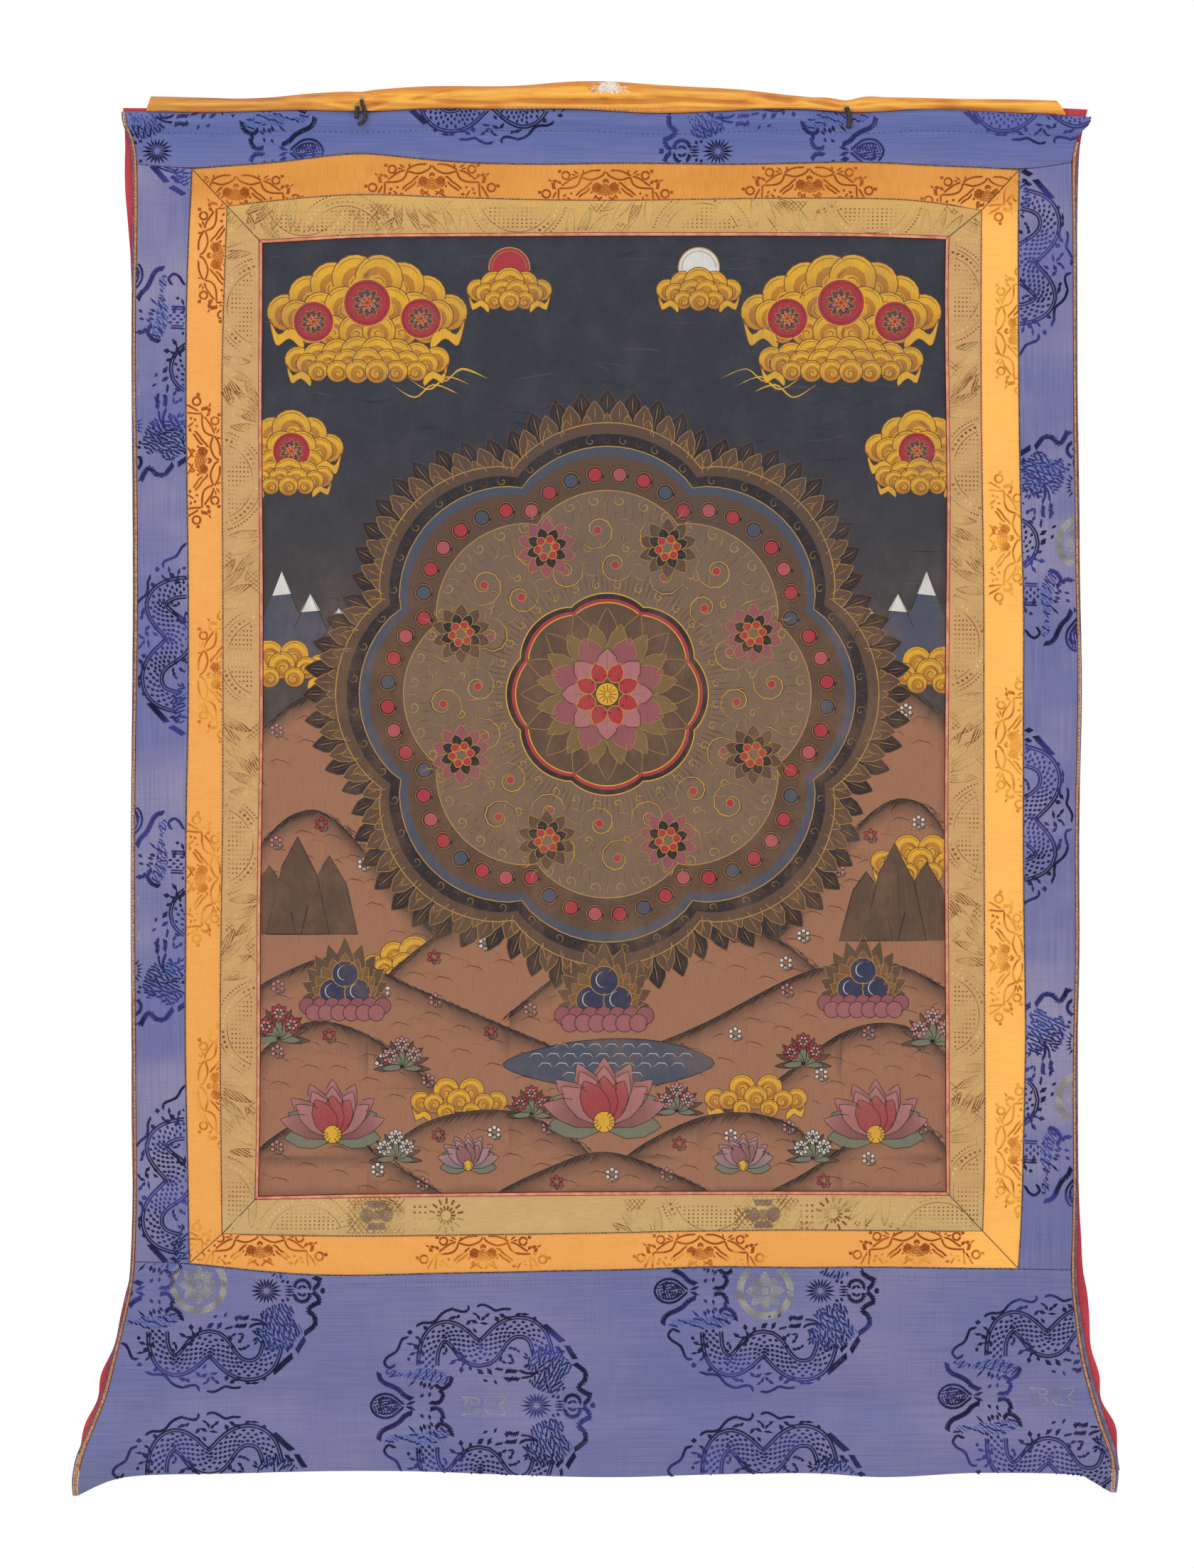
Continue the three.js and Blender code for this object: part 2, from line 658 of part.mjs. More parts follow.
const liningRowCount = liningHeights(0, 0.5).length;
const liningGrid = Array.from({ length: liningRowCount }, (_, j) =>
  skirtShares.map((share) => {
    const guess = mix(liningLeft(-400), liningRight(-400), share);
    const z = liningHeights(guess, share)[j];
    return [mix(liningLeft(z), liningRight(z), share), z];
  }),
);
const liningFront = frontThickness + liningGap;
const liningPoints = (back) =>
  liningGrid.map((row) => row.map(([x, z]) => new THREE.Vector3(x, depth(x, z) + back, z)));
const liningSheet = sheetGeometry(
  liningPoints(liningFront),
  liningPoints(liningFront + liningThickness),
);
add("lining", liningSheet, cloths.lining);

// Silk veil: sewn to the heading's top edge, up over the crest and down behind the lining
const veilFoldList = entries(veilFolds);

function veilFold(x) {
  return veilFoldList.reduce(
    (sum, { x: middle, width, rise }) => sum + rise * Math.exp(-(((x - middle) / width) ** 2)),
    0,
  );
}

// The middle line of one column of the veil, from its sewn foot to its lower edge behind
function veilLine(share) {
  const foot = mix(veilFoot.left, veilFoot.right, share);
  const base = headingEdge(foot) + sewingGap / 2;
  const rise = crestEdge(foot) - base - veilThickness / 2;
  const over = entries(veilOver).map(({ up, back, inLeft, inRight }) => {
    const x = mix(veilFoot.left + inLeft, veilFoot.right - inRight, share);
    return new THREE.Vector3(x, depth(foot, 0) + back, base + rise * up);
  });
  const down = entries(veilHang).map(({ z, left, right, fold }) => {
    const x = mix(left, right, share);
    return new THREE.Vector3(x, depth(x, z) + veilBack + fold * veilFold(x), z);
  });
  return [...over, ...down];
}

// The line moved sideways by some distance within the upright plane that crosses the scroll
function besideLine(line, distance) {
  return line.map((point, j) => {
    const before = line[Math.max(j - 1, 0)];
    const after = line[Math.min(j + 1, line.length - 1)];
    const length = Math.hypot(after.y - before.y, after.z - before.z);
    const sideways = new THREE.Vector3(0, before.z - after.z, after.y - before.y);
    return point.clone().addScaledVector(sideways, distance / length);
  });
}

const veilLines = veilShares.map(veilLine);
const turned = (lines) => lines[0].map((_, j) => lines.map((line) => line[j]));
const veilOutside = veilLines.map((line) => besideLine(line, veilThickness / 2));
const veilInside = veilLines.map((line) => besideLine(line, -veilThickness / 2));
add("veil", sheetGeometry(turned(veilInside), turned(veilOutside)), cloths.veil);

// Leather thongs: short tails sewn on low on the crest, with free ends
const thongs = {
  thong_left_long: table("x z", [
    [-153.6, 6.0],
    [-152.7, 2.6],
    [-151.2, -1.8],
    [-150.9, -4.8],
    [-152.4, -7.9],
    [-155.4, -9.5],
  ]),
  thong_left_short: table("x z", [
    [-156.1, 1.8],
    [-156.4, -1.2],
    [-156.6, -5.1],
  ]),
  thong_right: table("x z", [
    [153.4, 1.0],
    [155.0, -3.6],
    [155.2, -7.6],
    [154.6, -11.6],
  ]),
};
const thongClear = 1.0; // from the cloth's front to the thong, over the cloth's own roundness

function thongGeometry(route) {
  const points = entries(route).map(({ x, z }) => {
    const cloth = depth(x, z) - Math.max(casingRoll(x, Math.min(z, headingEdge(x))), 0.6);
    return new THREE.Vector3(x, cloth - thongClear - thongRadius, z);
  });
  const path = new THREE.CatmullRomCurve3(points);
  const section = new THREE.Shape(
    Array.from({ length: thongSides }, (_, i) => {
      const angle = (2 * Math.PI * i) / thongSides;
      return new THREE.Vector2(thongRadius * Math.cos(angle), thongRadius * Math.sin(angle));
    }),
  );
  return new THREE.ExtrudeGeometry(section, { extrudePath: path, steps: 3 * points.length });
}

for (const [name, route] of Object.entries(thongs)) {
  add(name, thongGeometry(route), cloths.thong);
}

export default group;
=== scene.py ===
# Thangka scroll painting, hung by its heading, with its satin veil thrown back over the top.
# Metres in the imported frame: the painted front faces -Y, +X is to its right and +Z is up.
# Tables of places are in millimetres, and MM turns them into metres.

import math
import random

import bmesh
import bpy
import numpy as np
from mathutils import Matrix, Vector
from mathutils.bvhtree import BVHTree
from mathutils.geometry import delaunay_2d_cdt


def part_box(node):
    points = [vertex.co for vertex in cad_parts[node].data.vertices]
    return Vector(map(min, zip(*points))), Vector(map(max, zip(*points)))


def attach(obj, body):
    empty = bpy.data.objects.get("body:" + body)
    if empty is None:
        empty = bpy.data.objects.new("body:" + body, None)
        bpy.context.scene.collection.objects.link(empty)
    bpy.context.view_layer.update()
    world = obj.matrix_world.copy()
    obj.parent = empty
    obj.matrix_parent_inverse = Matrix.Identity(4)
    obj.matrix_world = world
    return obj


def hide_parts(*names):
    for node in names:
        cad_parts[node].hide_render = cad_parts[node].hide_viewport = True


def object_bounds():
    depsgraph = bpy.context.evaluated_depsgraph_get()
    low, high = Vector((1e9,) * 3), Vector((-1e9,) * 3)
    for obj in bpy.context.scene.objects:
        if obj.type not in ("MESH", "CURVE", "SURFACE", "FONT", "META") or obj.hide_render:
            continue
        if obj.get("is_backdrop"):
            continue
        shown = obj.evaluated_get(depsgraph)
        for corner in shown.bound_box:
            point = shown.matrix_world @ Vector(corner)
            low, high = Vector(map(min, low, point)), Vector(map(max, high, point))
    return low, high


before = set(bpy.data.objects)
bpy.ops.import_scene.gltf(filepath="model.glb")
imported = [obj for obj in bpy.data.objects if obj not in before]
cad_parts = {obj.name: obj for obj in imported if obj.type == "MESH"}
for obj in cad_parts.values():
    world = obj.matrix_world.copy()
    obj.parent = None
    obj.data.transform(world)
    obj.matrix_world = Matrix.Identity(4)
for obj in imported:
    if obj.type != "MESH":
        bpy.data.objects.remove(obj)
cad_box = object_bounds()

# Painted canvas
# Cotton canvas primed with chalk and glue, painted in distemper, worn and rubbed by rolling.
# The picture on it is a generic one: lotuses, clouds, hills and a foiled panel of scrolls.

MM = 0.001
TAU = 2 * math.pi
JOIN_ANGLE = math.radians(80)  # triangles of one cell are joined to a quad again
RIM_ANGLE = math.radians(60)  # the rims of a sheet stay sharp when it is smoothed
CORNER_ANGLE = math.radians(22)  # so do the corners of its outline
SOFT_RIM = 0.28 * MM  # roundness of a cloth's edge
CANVAS_THICK = 1.2 * MM

# Soft creases of the front: two ends, half width and rise towards the viewer
CREASES = [
    # x1, z1, x2, z2, wide, rise
    (-305, -75, -262, -96, 5, 0.9),
    (-300, -92, -266, -84, 4, -0.6),
    (-300, -403, -262, -398, 4, 0.7),
    (-300, -413, -264, -409, 3, -0.7),
    (-298, -421, -262, -425, 4, 0.6),
    (-300, -580, -264, -590, 5, 0.8),
    (-300, -594, -262, -586, 4, -0.6),
    (300, -378, 264, -380, 4, 0.7),
    (300, -549, 266, -551, 5, 0.8),
    (298, -710, 262, -716, 5, 1.0),
    (298, -722, 264, -724, 4, -0.8),
    (-262, -120, -240, -122, 5, 0.4),
    (-330, -868, -286, -792, 9, 1.4),
    (-300, -862, -272, -800, 7, -0.9),
    (320, -866, 286, -790, 8, 1.4),
    (296, -856, 268, -800, 7, -0.8),
    (-179, -738, -182, -858, 2.2, 0.35),
    (-2, -740, -3, -862, 2.2, 0.3),
    (-280, -776, 290, -779, 2.0, -0.25),
    (-250, -760, 40, -761, 1.6, 0.25),
    (30, -795, 290, -792, 2.0, 0.3),
    (-150, -26, -118, -8, 4, 0.8),
    (-150, -24, -190, -10, 4, 0.6),
    (150, -30, 116, -12, 4, 0.6),
    (152, -28, 186, -10, 4, 0.7),
    (238, -26, 300, -31, 4, 0.9),
    (240, -20, 296, -16, 3, -0.4),
    (-296, -20, -262, -32, 5, 0.8),
    (-216, -340, 216, -344, 7, 0.25),
    (-216, -520, 216, -516, 8, -0.3),
]


def uneven(x, z, across, down, seed):
    """A smooth uneven field from -1 to 1, from a few crossing waves of about those lengths."""
    dice = random.Random(seed)
    total = np.zeros_like(x)
    waves = 7
    for _ in range(waves):
        turn = dice.uniform(0, TAU)
        stretch = dice.uniform(0.6, 1.7)
        phase = dice.uniform(0, TAU)
        total += np.sin(
            TAU * stretch * (x * math.cos(turn) / across + z * math.sin(turn) / down) + phase
        )
    return total / waves


def ridges(x, z, lines, blunt):
    """How far soft ridges and troughs lift a cloth; blunt ones fade less at their ends."""
    lift = np.zeros_like(x)
    for x1, z1, x2, z2, wide, rise in lines:
        along_x, along_z = x2 - x1, z2 - z1
        length = math.hypot(along_x, along_z)
        share = ((x - x1) * along_x + (z - z1) * along_z) / length**2
        aside = ((x - x1) * along_z - (z - z1) * along_x) / length
        ends = np.clip(4 * np.minimum(share, 1 - share) + blunt, 0, 1)
        lift += rise * ends * np.exp(-((aside / wide) ** 2))
    return lift


def relief(x, z):
    """How far the creases and the uneven hang of the front lift it, in millimetres."""
    waves = 0.32 * uneven(x, z, 70, 46, 3) + 0.12 * uneven(x, z, 26, 17, 5)
    return waves + ridges(x, z, CREASES, 0.6)


def new_piece(name, mesh):
    """A mesh as a piece of the scroll."""
    piece = bpy.data.objects.new(name, mesh)
    bpy.context.scene.collection.objects.link(piece)
    return piece


def settle(piece):
    """Turns a piece's modifiers into plain mesh."""
    bpy.context.view_layer.update()
    finished = piece.evaluated_get(bpy.context.evaluated_depsgraph_get())
    mesh = bpy.data.meshes.new_from_object(finished)
    piece.modifiers.clear()
    piece.data = mesh
    return piece


def points_of(mesh):
    """The vertices of a mesh as rows of x, y, z."""
    flat = np.zeros(len(mesh.vertices) * 3, np.float32)
    mesh.vertices.foreach_get("co", flat)
    return flat.reshape(-1, 3).astype(float)


def move_points(mesh, points):
    """Puts a mesh's vertices at new places."""
    mesh.vertices.foreach_set("co", points.astype(np.float32).ravel())
    mesh.update()


def smooth_cloth(node, name, levels):
    """The CAD solid of a cloth as a smooth sheet with rounded rims."""
    work = bmesh.new()
    work.from_mesh(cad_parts[node].data)
    bmesh.ops.remove_doubles(work, verts=work.verts, dist=0.01 * MM)
    bmesh.ops.join_triangles(
        work,
        faces=work.faces,
        angle_face_threshold=JOIN_ANGLE,
        angle_shape_threshold=JOIN_ANGLE,
    )
    crease = work.edges.layers.float.new("crease_edge")
    for edge in work.edges:
        through = (edge.verts[1].co - edge.verts[0].co).normalized()
        if edge.calc_face_angle(0) > (CORNER_ANGLE if abs(through.y) > 0.7 else RIM_ANGLE):
            edge[crease] = 1
    mesh = bpy.data.meshes.new(name)
    work.to_mesh(mesh)
    work.free()
    piece = new_piece(name, mesh)
    smooth = piece.modifiers.new("Smooth", "SUBSURF")
    smooth.levels = smooth.render_levels = levels
    smooth.use_limit_surface = False
    rim = piece.modifiers.new("Rim", "BEVEL")
    rim.limit_method = "ANGLE"
    rim.angle_limit = RIM_ANGLE
    rim.width = SOFT_RIM
    rim.segments = 2
    settle(piece)
    piece.data.shade_smooth()
    return piece


def crumple(piece, field=relief):
    """Adds the front's creases to a finished sheet, the same on all its layers."""
    points = points_of(piece.data)
    points[:, 1] -= MM * field(points[:, 0] / MM, points[:, 2] / MM)
    move_points(piece.data, points)


class Face:
    """Where the front or the back of some pieces lies, for what is laid on it."""

    def __init__(self, pieces, behind=False):
        points, faces = [], []
        for piece in pieces:
            start = len(points)
            points += [tuple(v.co) for v in piece.data.vertices]
            faces += [[start + i for i in p.vertices] for p in piece.data.polygons]
        self.tree = BVHTree.FromPolygons(points, faces)
        self.out = 1 if behind else -1  # which way is out of the cloth, along Y
        self.start = 0.3 * self.out

    def at(self, x, z, lift=0.0):
        """The place on it at x, z in millimetres, lifted by millimetres, or None beside it."""
        spot, _, _, _ = self.tree.ray_cast(
            Vector((x * MM, self.start, z * MM)), Vector((0, -self.out, 0))
        )
        if spot is None:
            return None
        return Vector((x * MM, spot.y + self.out * lift * MM, z * MM))


def flow(places, closed=False, step=3.0):
    """A smooth line through some places, with a point about every step."""
    count = len(places)
    spans = count if closed else count - 1
    line = []
    for i in range(spans):
        a, b, c, d = (
            places[j % count] if closed else places[min(max(j, 0), count - 1)]
            for j in (i - 1, i, i + 1, i + 2)
        )
        parts = max(1, round(math.dist(b, c) / step))
        for part in range(parts):
            t = part / parts
            line.append(
                tuple(
                    0.5
                    * (
                        2 * q
                        + (r - p) * t
                        + (2 * p - 5 * q + 4 * r - s) * t**2
                        + (3 * q - p - 3 * r + s) * t**3
                    )
                    for p, q, r, s in zip(a, b, c, d)
                )
            )
    if not closed:
        line.append(tuple(places[-1]))
    return line


def turned(places, x, z, degrees=0.0, mirror=1, size=1.0):
    """Places of a motif, mirrored, scaled and turned, then moved to x, z."""
    c, s = math.cos(math.radians(degrees)), math.sin(math.radians(degrees))
    return [
        (x + size * (mirror * a * c - b * s), z + size * (mirror * a * s + b * c))
        for a, b in places
    ]


LAMPS = 1.15  # how much more light than plain white the studio gives


def screen(red, green, blue):
    """A colour as it looks in the studio, as the linear colour that the shaders use."""
    return tuple(((c / 255 + 0.055) / 1.055) ** 2.4 / LAMPS for c in (red, green, blue))


def blended(one, other, share):
    """A colour between two."""
    return tuple(a + (b - a) * share for a, b in zip(one, other))


class Threads:
    """Slim raised lines on a cloth: brush lines, floats of a brocade. Each keeps its colour."""

    def __init__(self):
        self.lines = []

    def lay(self, places, width, colour, rise=None, thin_ends=False):
        """One line through some places, in millimetres."""
        self.lines.append((places, width, colour, rise or 0.3 * width, thin_ends))

    def make(self, name, face, sink=0.06):
        """All lines as one mesh of closed three-sided ridges; what misses the cloth is cut off."""
        points, faces, colours = [], [], []
        for places, width, colour, rise, thin_ends in self.lines:
            kept = []
            for i, (x, z) in enumerate(places):
                before = places[max(i - 1, 0)]
                after = places[min(i + 1, len(places) - 1)]
                length = math.dist(before, after) or 1.0
                side_x, side_z = (after[1] - before[1]) / length, (before[0] - after[0]) / length
                spot = face.at(x, z)
                if spot is None:
                    if len(kept) > 1:
                        break
                    kept = []
                    continue
                kept.append((spot, side_x, side_z, i / (len(places) - 1)))
            if len(kept) < 2:
                continue
            start = len(points)
            for spot, side_x, side_z, share in kept:
                slim = math.sin(math.pi * min(max(share, 0.04), 0.96)) ** 0.7 if thin_ends else 1
                half = 0.5 * width * slim * MM
                down = spot.y - face.out * sink * MM
                points.append((spot.x - half * side_x, down, spot.z - half * side_z))
                points.append((spot.x + half * side_x, down, spot.z + half * side_z))
                points.append((spot.x, spot.y + face.out * rise * slim * MM, spot.z))
            for k in range(len(kept) - 1):
                a = start + 3 * k
                faces += [
                    (a, a + 3, a + 5, a + 2),
                    (a + 2, a + 5, a + 4, a + 1),
                    (a + 1, a + 4, a + 3, a),
                ]
            end = start + 3 * (len(kept) - 1)
            faces += [(start, start + 2, start + 1), (end, end + 1, end + 2)]
            colours += [colour] * (len(points) - start)
        mesh = bpy.data.meshes.new(name)
        mesh.from_pydata(points, [], faces)
        tint = mesh.attributes.new("tint", "FLOAT_COLOR", "POINT")
        tint.data.foreach_set("color", [c for rgb in colours for c in (*rgb, 1)])
        if face.out > 0:
            mesh.flip_normals()
        return new_piece(name, mesh)


class Wire:
    """A socket of a material. Sums, differences and products of wires add Math nodes."""

    def __init__(self, tree, socket):
        self.tree = tree
        self.socket = socket

    def add(self, kind, settings=None, inputs=None, out=0):
        """A node of that kind: its settings first, then the values or wires of its sockets."""
        node = self.tree.nodes.new(kind)
        for name, value in (settings or {}).items():
            if name == "stops":
                for spare in list(node.color_ramp.elements)[1:]:
                    node.color_ramp.elements.remove(spare)
                for i, (share, colour) in enumerate(value):
                    stop = node.color_ramp.elements[0] if i == 0 else node.color_ramp.elements.new(share)
                    stop.position = share
                    stop.color = (*colour, 1)
            else:
                setattr(node, name, value)
        for name, value in (inputs or {}).items():
            if isinstance(value, Wire):
                self.tree.links.new(value.socket, node.inputs[name])
            else:
                node.inputs[name].default_value = value
        return Wire(self.tree, node.outputs[out])

    def math(self, operation, *values):
        return self.add("ShaderNodeMath", {"operation": operation}, dict(enumerate((self, *values))))

    def __add__(self, other):
        return self.math("ADD", other)

    def __mul__(self, other):
        return self.math("MULTIPLY", other)

    def __sub__(self, other):
        return self.math("SUBTRACT", other)

    def __rsub__(self, other):
        return (self * -1) + other

    def __truediv__(self, other):
        return self.math("DIVIDE", other)

    def __pow__(self, other):
        return self.math("POWER", other)

    __radd__ = __add__
    __rmul__ = __mul__

    def span(self, low, high, to_low=0.0, to_high=1.0):
        """Its range from low to high stretched to another one, and held there."""
        values = {"Value": self, "From Min": low, "From Max": high, "To Min": to_low, "To Max": to_high}
        return self.add("ShaderNodeMapRange", {"interpolation_type": "SMOOTHSTEP"}, values)

    def noise(self, x, y, z, detail=2.0, rough=0.5):
        """Cloudy noise with spots about x, y, z millimetres large, read at these coordinates."""
        scale = Vector((1 / (x * MM), 1 / (y * MM), 1 / (z * MM)))
        at = self.add("ShaderNodeVectorMath", {"operation": "MULTIPLY"}, {0: self, 1: scale})
        values = {"Vector": at, "Scale": 1.0, "Detail": detail, "Roughness": rough}
        return at.add("ShaderNodeTexNoise", None, values)

    def mix(self, one, other, how="MIX"):
        """From one colour to another by this share."""
        settings = {"data_type": "RGBA", "blend_type": how, "clamp_factor": True}
        pair = {
            name: value if isinstance(value, Wire) else (*value, 1)
            for name, value in ((6, one), (7, other))
        }
        return self.add("ShaderNodeMix", settings, {0: self, **pair}, out=2)


class Finish:
    """A material in the making: the place on the piece as wires, and the shader they feed."""

    def __init__(self, name, **fixed):
        self.material = bpy.data.materials.new(name)
        self.material.use_nodes = True
        tree = self.material.node_tree
        self.shader = tree.nodes["Principled BSDF"]
        for socket, value in fixed.items():
            self.shader.inputs[socket.replace("_", " ")].default_value = value
        self.place = Wire(tree, tree.nodes.new("ShaderNodeTexCoord").outputs["Object"])
        parts = tree.nodes.new("ShaderNodeSeparateXYZ")
        tree.links.new(self.place.socket, parts.inputs[0])
        self.x, self.y, self.z = (Wire(tree, socket) for socket in parts.outputs)

    def attribute(self, name, out="Color"):
        """A colour or number kept on the piece's mesh."""
        return self.place.add("ShaderNodeAttribute", {"attribute_name": name}, out=out)

    def feed(self, **wires):
        """Links wires to the shader's sockets."""
        for socket, wire in wires.items():
            wire.tree.links.new(wire.socket, self.shader.inputs[socket.replace("_", " ")])

    def bump(self, height, depth, strength=1.0):
        """Fine relief of some millimetres, from a wire between 0 and 1."""
        values = {"Strength": strength, "Distance": depth * MM, "Height": height}
        self.feed(Normal=height.add("ShaderNodeBump", None, values))

    def on(self, *pieces):
        for piece in pieces:
            piece.data.materials.clear()
            piece.data.materials.append(self.material)


def hold(piece, slot, *nodes):
    """Fixes a piece to the scroll in place of some CAD nodes, which are hidden; the slot, its finish's name, is not
    used.
    """
    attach(piece, "root")
    if nodes:
        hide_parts(*nodes)
    return piece


# Colours of the paint
NIGHT = screen(50, 52, 62)
DUSK = screen(70, 66, 66)
HILL = screen(162, 112, 86)
RIDGE = screen(66, 52, 48)
UMBER = screen(94, 71, 57)
PANEL = screen(122, 99, 80)
GOLD = screen(190, 146, 82)
CLOUD = screen(226, 172, 52)
CLOUD_SHADE = screen(196, 132, 44)
OCHRE = screen(164, 106, 46)
SCROLL_BROWN = screen(122, 78, 48)
RED = screen(172, 52, 62)
MAUVE = screen(146, 82, 90)
ROSE = screen(198, 134, 134)
CHALK = screen(222, 218, 212)
SLATE = screen(74, 80, 96)
SAGE = screen(116, 120, 100)
INK = screen(42, 38, 42)


def signed_area(outline):
    """The area inside an outline, below zero where it runs clockwise."""
    return 0.5 * sum(a[0] * b[1] - b[0] * a[1] for a, b in zip(outline, [*outline[1:], outline[0]]))


class Picture:
    """Painted shapes from back to front, each with its colour, and the brush lines over them."""

    def __init__(self):
        self.shapes = []
        self.brush = Threads()
        self.layers = []

    def shape(self, outline, colour, line=None, width=0.55):
        """A painted shape, with a brush line round it."""
        self.shapes.append((outline if signed_area(outline) > 0 else outline[::-1], colour))
        if line:
            self.stroke([*outline, outline[0]], line, width)

    def stroke(self, places, colour, width=0.55, thin_ends=False):
        self.brush.lay(places, width, colour, min(0.26, 0.15 / width), thin_ends)
        self.layers.append(len(self.shapes))

    def paint_over(self):
        """Cuts away the brush lines that later shapes cover."""
        lines = self.brush.lines
        spots = np.array([spot for line in lines for spot in line[0]])
        layer = np.repeat(self.layers, [len(line[0]) for line in lines])
        open_air = np.ones(len(spots), bool)
        for index, (outline, _) in enumerate(self.shapes):
            ring = np.array(outline)
            (low_x, low_z), (high_x, high_z) = ring.min(0), ring.max(0)
            near = open_air & (layer <= index)
            near &= (spots[:, 0] > low_x) & (spots[:, 0] < high_x)
            near &= (spots[:, 1] > low_z) & (spots[:, 1] < high_z)
            chosen = np.nonzero(near)[0]
            if not len(chosen):
                continue
            x, z = spots[chosen, 0], spots[chosen, 1]
            ax, az = ring[:, 0][:, None], ring[:, 1][:, None]
            bx, bz = np.roll(ring[:, 0], -1)[:, None], np.roll(ring[:, 1], -1)[:, None]
            rise = np.where(bz == az, 1, bz - az)
            crossed = ((az > z) != (bz > z)) & (x < ax + (bx - ax) * (z - az) / rise)
            open_air[chosen[crossed.sum(0) % 2 == 1]] = False
        shown = []
        start = 0
        for places, *look in lines:
            seen = open_air[start : start + len(places)]
            start += len(places)
            if seen.all():
                shown.append((places, *look))
                continue
            run = []
            for i, place in enumerate(places):
                if seen[i]:
                    if not run and i:
                        run.append(tuple(0.5 * (a + b) for a, b in zip(place, places[i - 1])))
                    run.append(place)
                elif run:
                    run.append(tuple(0.5 * (a + b) for a, b in zip(place, places[i - 1])))
                    shown.append((run, *look))
                    run = []
            if run:
                shown.append((run, *look))
        self.brush.lines = [line for line in shown if len(line[0]) > 1]

    def make_canvas(self, name, rim, face, lattice):
        """The painted sheet: all shapes cut into one layer of small faces on the canvas."""
        flat, polygons = [], []
        for outline in [rim, *(outline for outline, _ in self.shapes)]:
            polygons.append(list(range(len(flat), len(flat) + len(outline))))
            flat += [Vector(place) for place in outline]
        flat += [Vector(place) for place in lattice]
        places, _, cut, _, _, sources = delaunay_2d_cdt(flat, [], polygons, 0, 0.04, True)
        points = [face.at(p.x, p.y) for p in places]
        covered = [0.0] * len(polygons)
        for corners, source in zip(cut, sources):
            for s in source:
                covered[s] += signed_area([places[i] for i in corners])
        outlines = [rim, *(outline for outline, _ in self.shapes)]
        leaked = {s for s, outline in enumerate(outlines) if covered[s] > 1.3 * abs(signed_area(outline)) + 2}
        sheet = [
            (corners, max(set(source) - leaked))
            for corners, source in zip(cut, sources)
            if 0 in source and all(points[i] is not None for i in corners)
        ]
        used = sorted({i for corners, _ in sheet for i in corners})
        index = {old: new for new, old in enumerate(used)}
        front = [points[i] for i in used]
        back = [p + Vector((0, CANVAS_THICK, 0)) for p in front]
        faces, tints, sides = [], [], {}
        for corners, source in sheet:
            tops = [index[i] for i in corners]
            faces.append(tops)
            colour = self.shapes[source - 1][1] if source else NIGHT
            for old in corners:
                at = places[old]
                tints.append(colour(at.x, at.y) if callable(colour) else colour)
            for a, b in zip(tops, [*tops[1:], tops[0]]):
                sides[a, b] = True
        shift = len(front)
        for tops in list(faces):
            faces.append([i + shift for i in reversed(tops)])
            tints += [CHALK] * len(tops)
        for a, b in sides:
            if (b, a) not in sides:
                faces.append([b, a, a + shift, b + shift])
                tints += [CHALK] * 4
        mesh = bpy.data.meshes.new(name)
        mesh.from_pydata([*front, *back], [], faces)
        tint = mesh.attributes.new("tint", "FLOAT_COLOR", "CORNER")
        tint.data.foreach_set("color", [c for rgb in tints for c in (*rgb, 1)])
        mesh.shade_smooth()
        return new_piece(name, mesh)


def disc(x, z, radius, count=18):
    return [
        (x + radius * math.cos(TAU * i / count), z + radius * math.sin(TAU * i / count))
        for i in range(count)
    ]


def petal(length, width, root=0.0, point=0.35):
    """A pointed petal along +Z from its root, as places round the origin."""
    half = [(0, 0), (0.34, 0.12), (0.5, 0.42), (0.4, 0.72), (0.14, 0.93), (0, 1 + 0.02 * point)]
    right = [(width * a, root + length * b) for a, b in half]
    left = [(-a, b) for a, b in reversed(right[1:-1])]
    return flow([*right, *left], closed=True, step=max(0.21 * length, 1.1))


def spiral(x, z, radius, start, turns, way=1, core=0.12):
    """A scroll that winds in towards its middle."""
    count = max(int(10 * turns), 8)
    line = []
    for i in range(count + 1):
        share = i / count
        reach = radius * (core + (1 - core) * (1 - share) ** 1.2)
        angle = start + way * share * turns * TAU
        line.append((x + reach * math.cos(angle), z + reach * math.sin(angle)))
    return line


def arc(x, z, radius, start, end, step=2.0):
    """A round line between two angles in degrees."""
    count = max(int(abs(math.radians(end - start)) * radius / step), 3)
    return [
        (
            x + radius * math.cos(math.radians(start + (end - start) * i / count)),
            z + radius * math.sin(math.radians(start + (end - start) * i / count)),
        )
        for i in range(count + 1)
    ]


picture = Picture()


def rising(low, high, middle, radius, share):
    """A paint that goes from one colour at a lobe's foot to another, with this share at its middle."""
    return lambda x, z: blended(low, high, min(max((z - middle) / radius + share, 0), 1))


def cloud(lobes):
    """A golden cloud of rolled lobes, each x, z, radius, painted from the back to the front."""
    middle = sum(x for x, _, _ in lobes) / len(lobes)
    for x, z, radius in lobes:
        shade = rising(CLOUD_SHADE, CLOUD, z, radius, 0.75)
        picture.shape(disc(x, z, radius, 17), shade, SCROLL_BROWN, 0.7)
        way = 1 if x > middle else -1
        dark = rising(OCHRE, CLOUD_SHADE, z, radius, 0.6)
        picture.shape(disc(x - 0.08 * way * radius, z - 0.16 * radius, 0.66 * radius, 12), dark)
        picture.shape(disc(x - 0.12 * way * radius, z - 0.26 * radius, 0.42 * radius, 9), shade)
        curl = spiral(x - 0.1 * way * radius, z - 0.2 * radius, 0.6 * radius, 1.9, 1.5, way)
        picture.stroke(curl, SCROLL_BROWN, 0.8, True)
        picture.stroke(arc(x, z, 0.84 * radius, 15, 165, 3.2), OCHRE, 0.6, True)


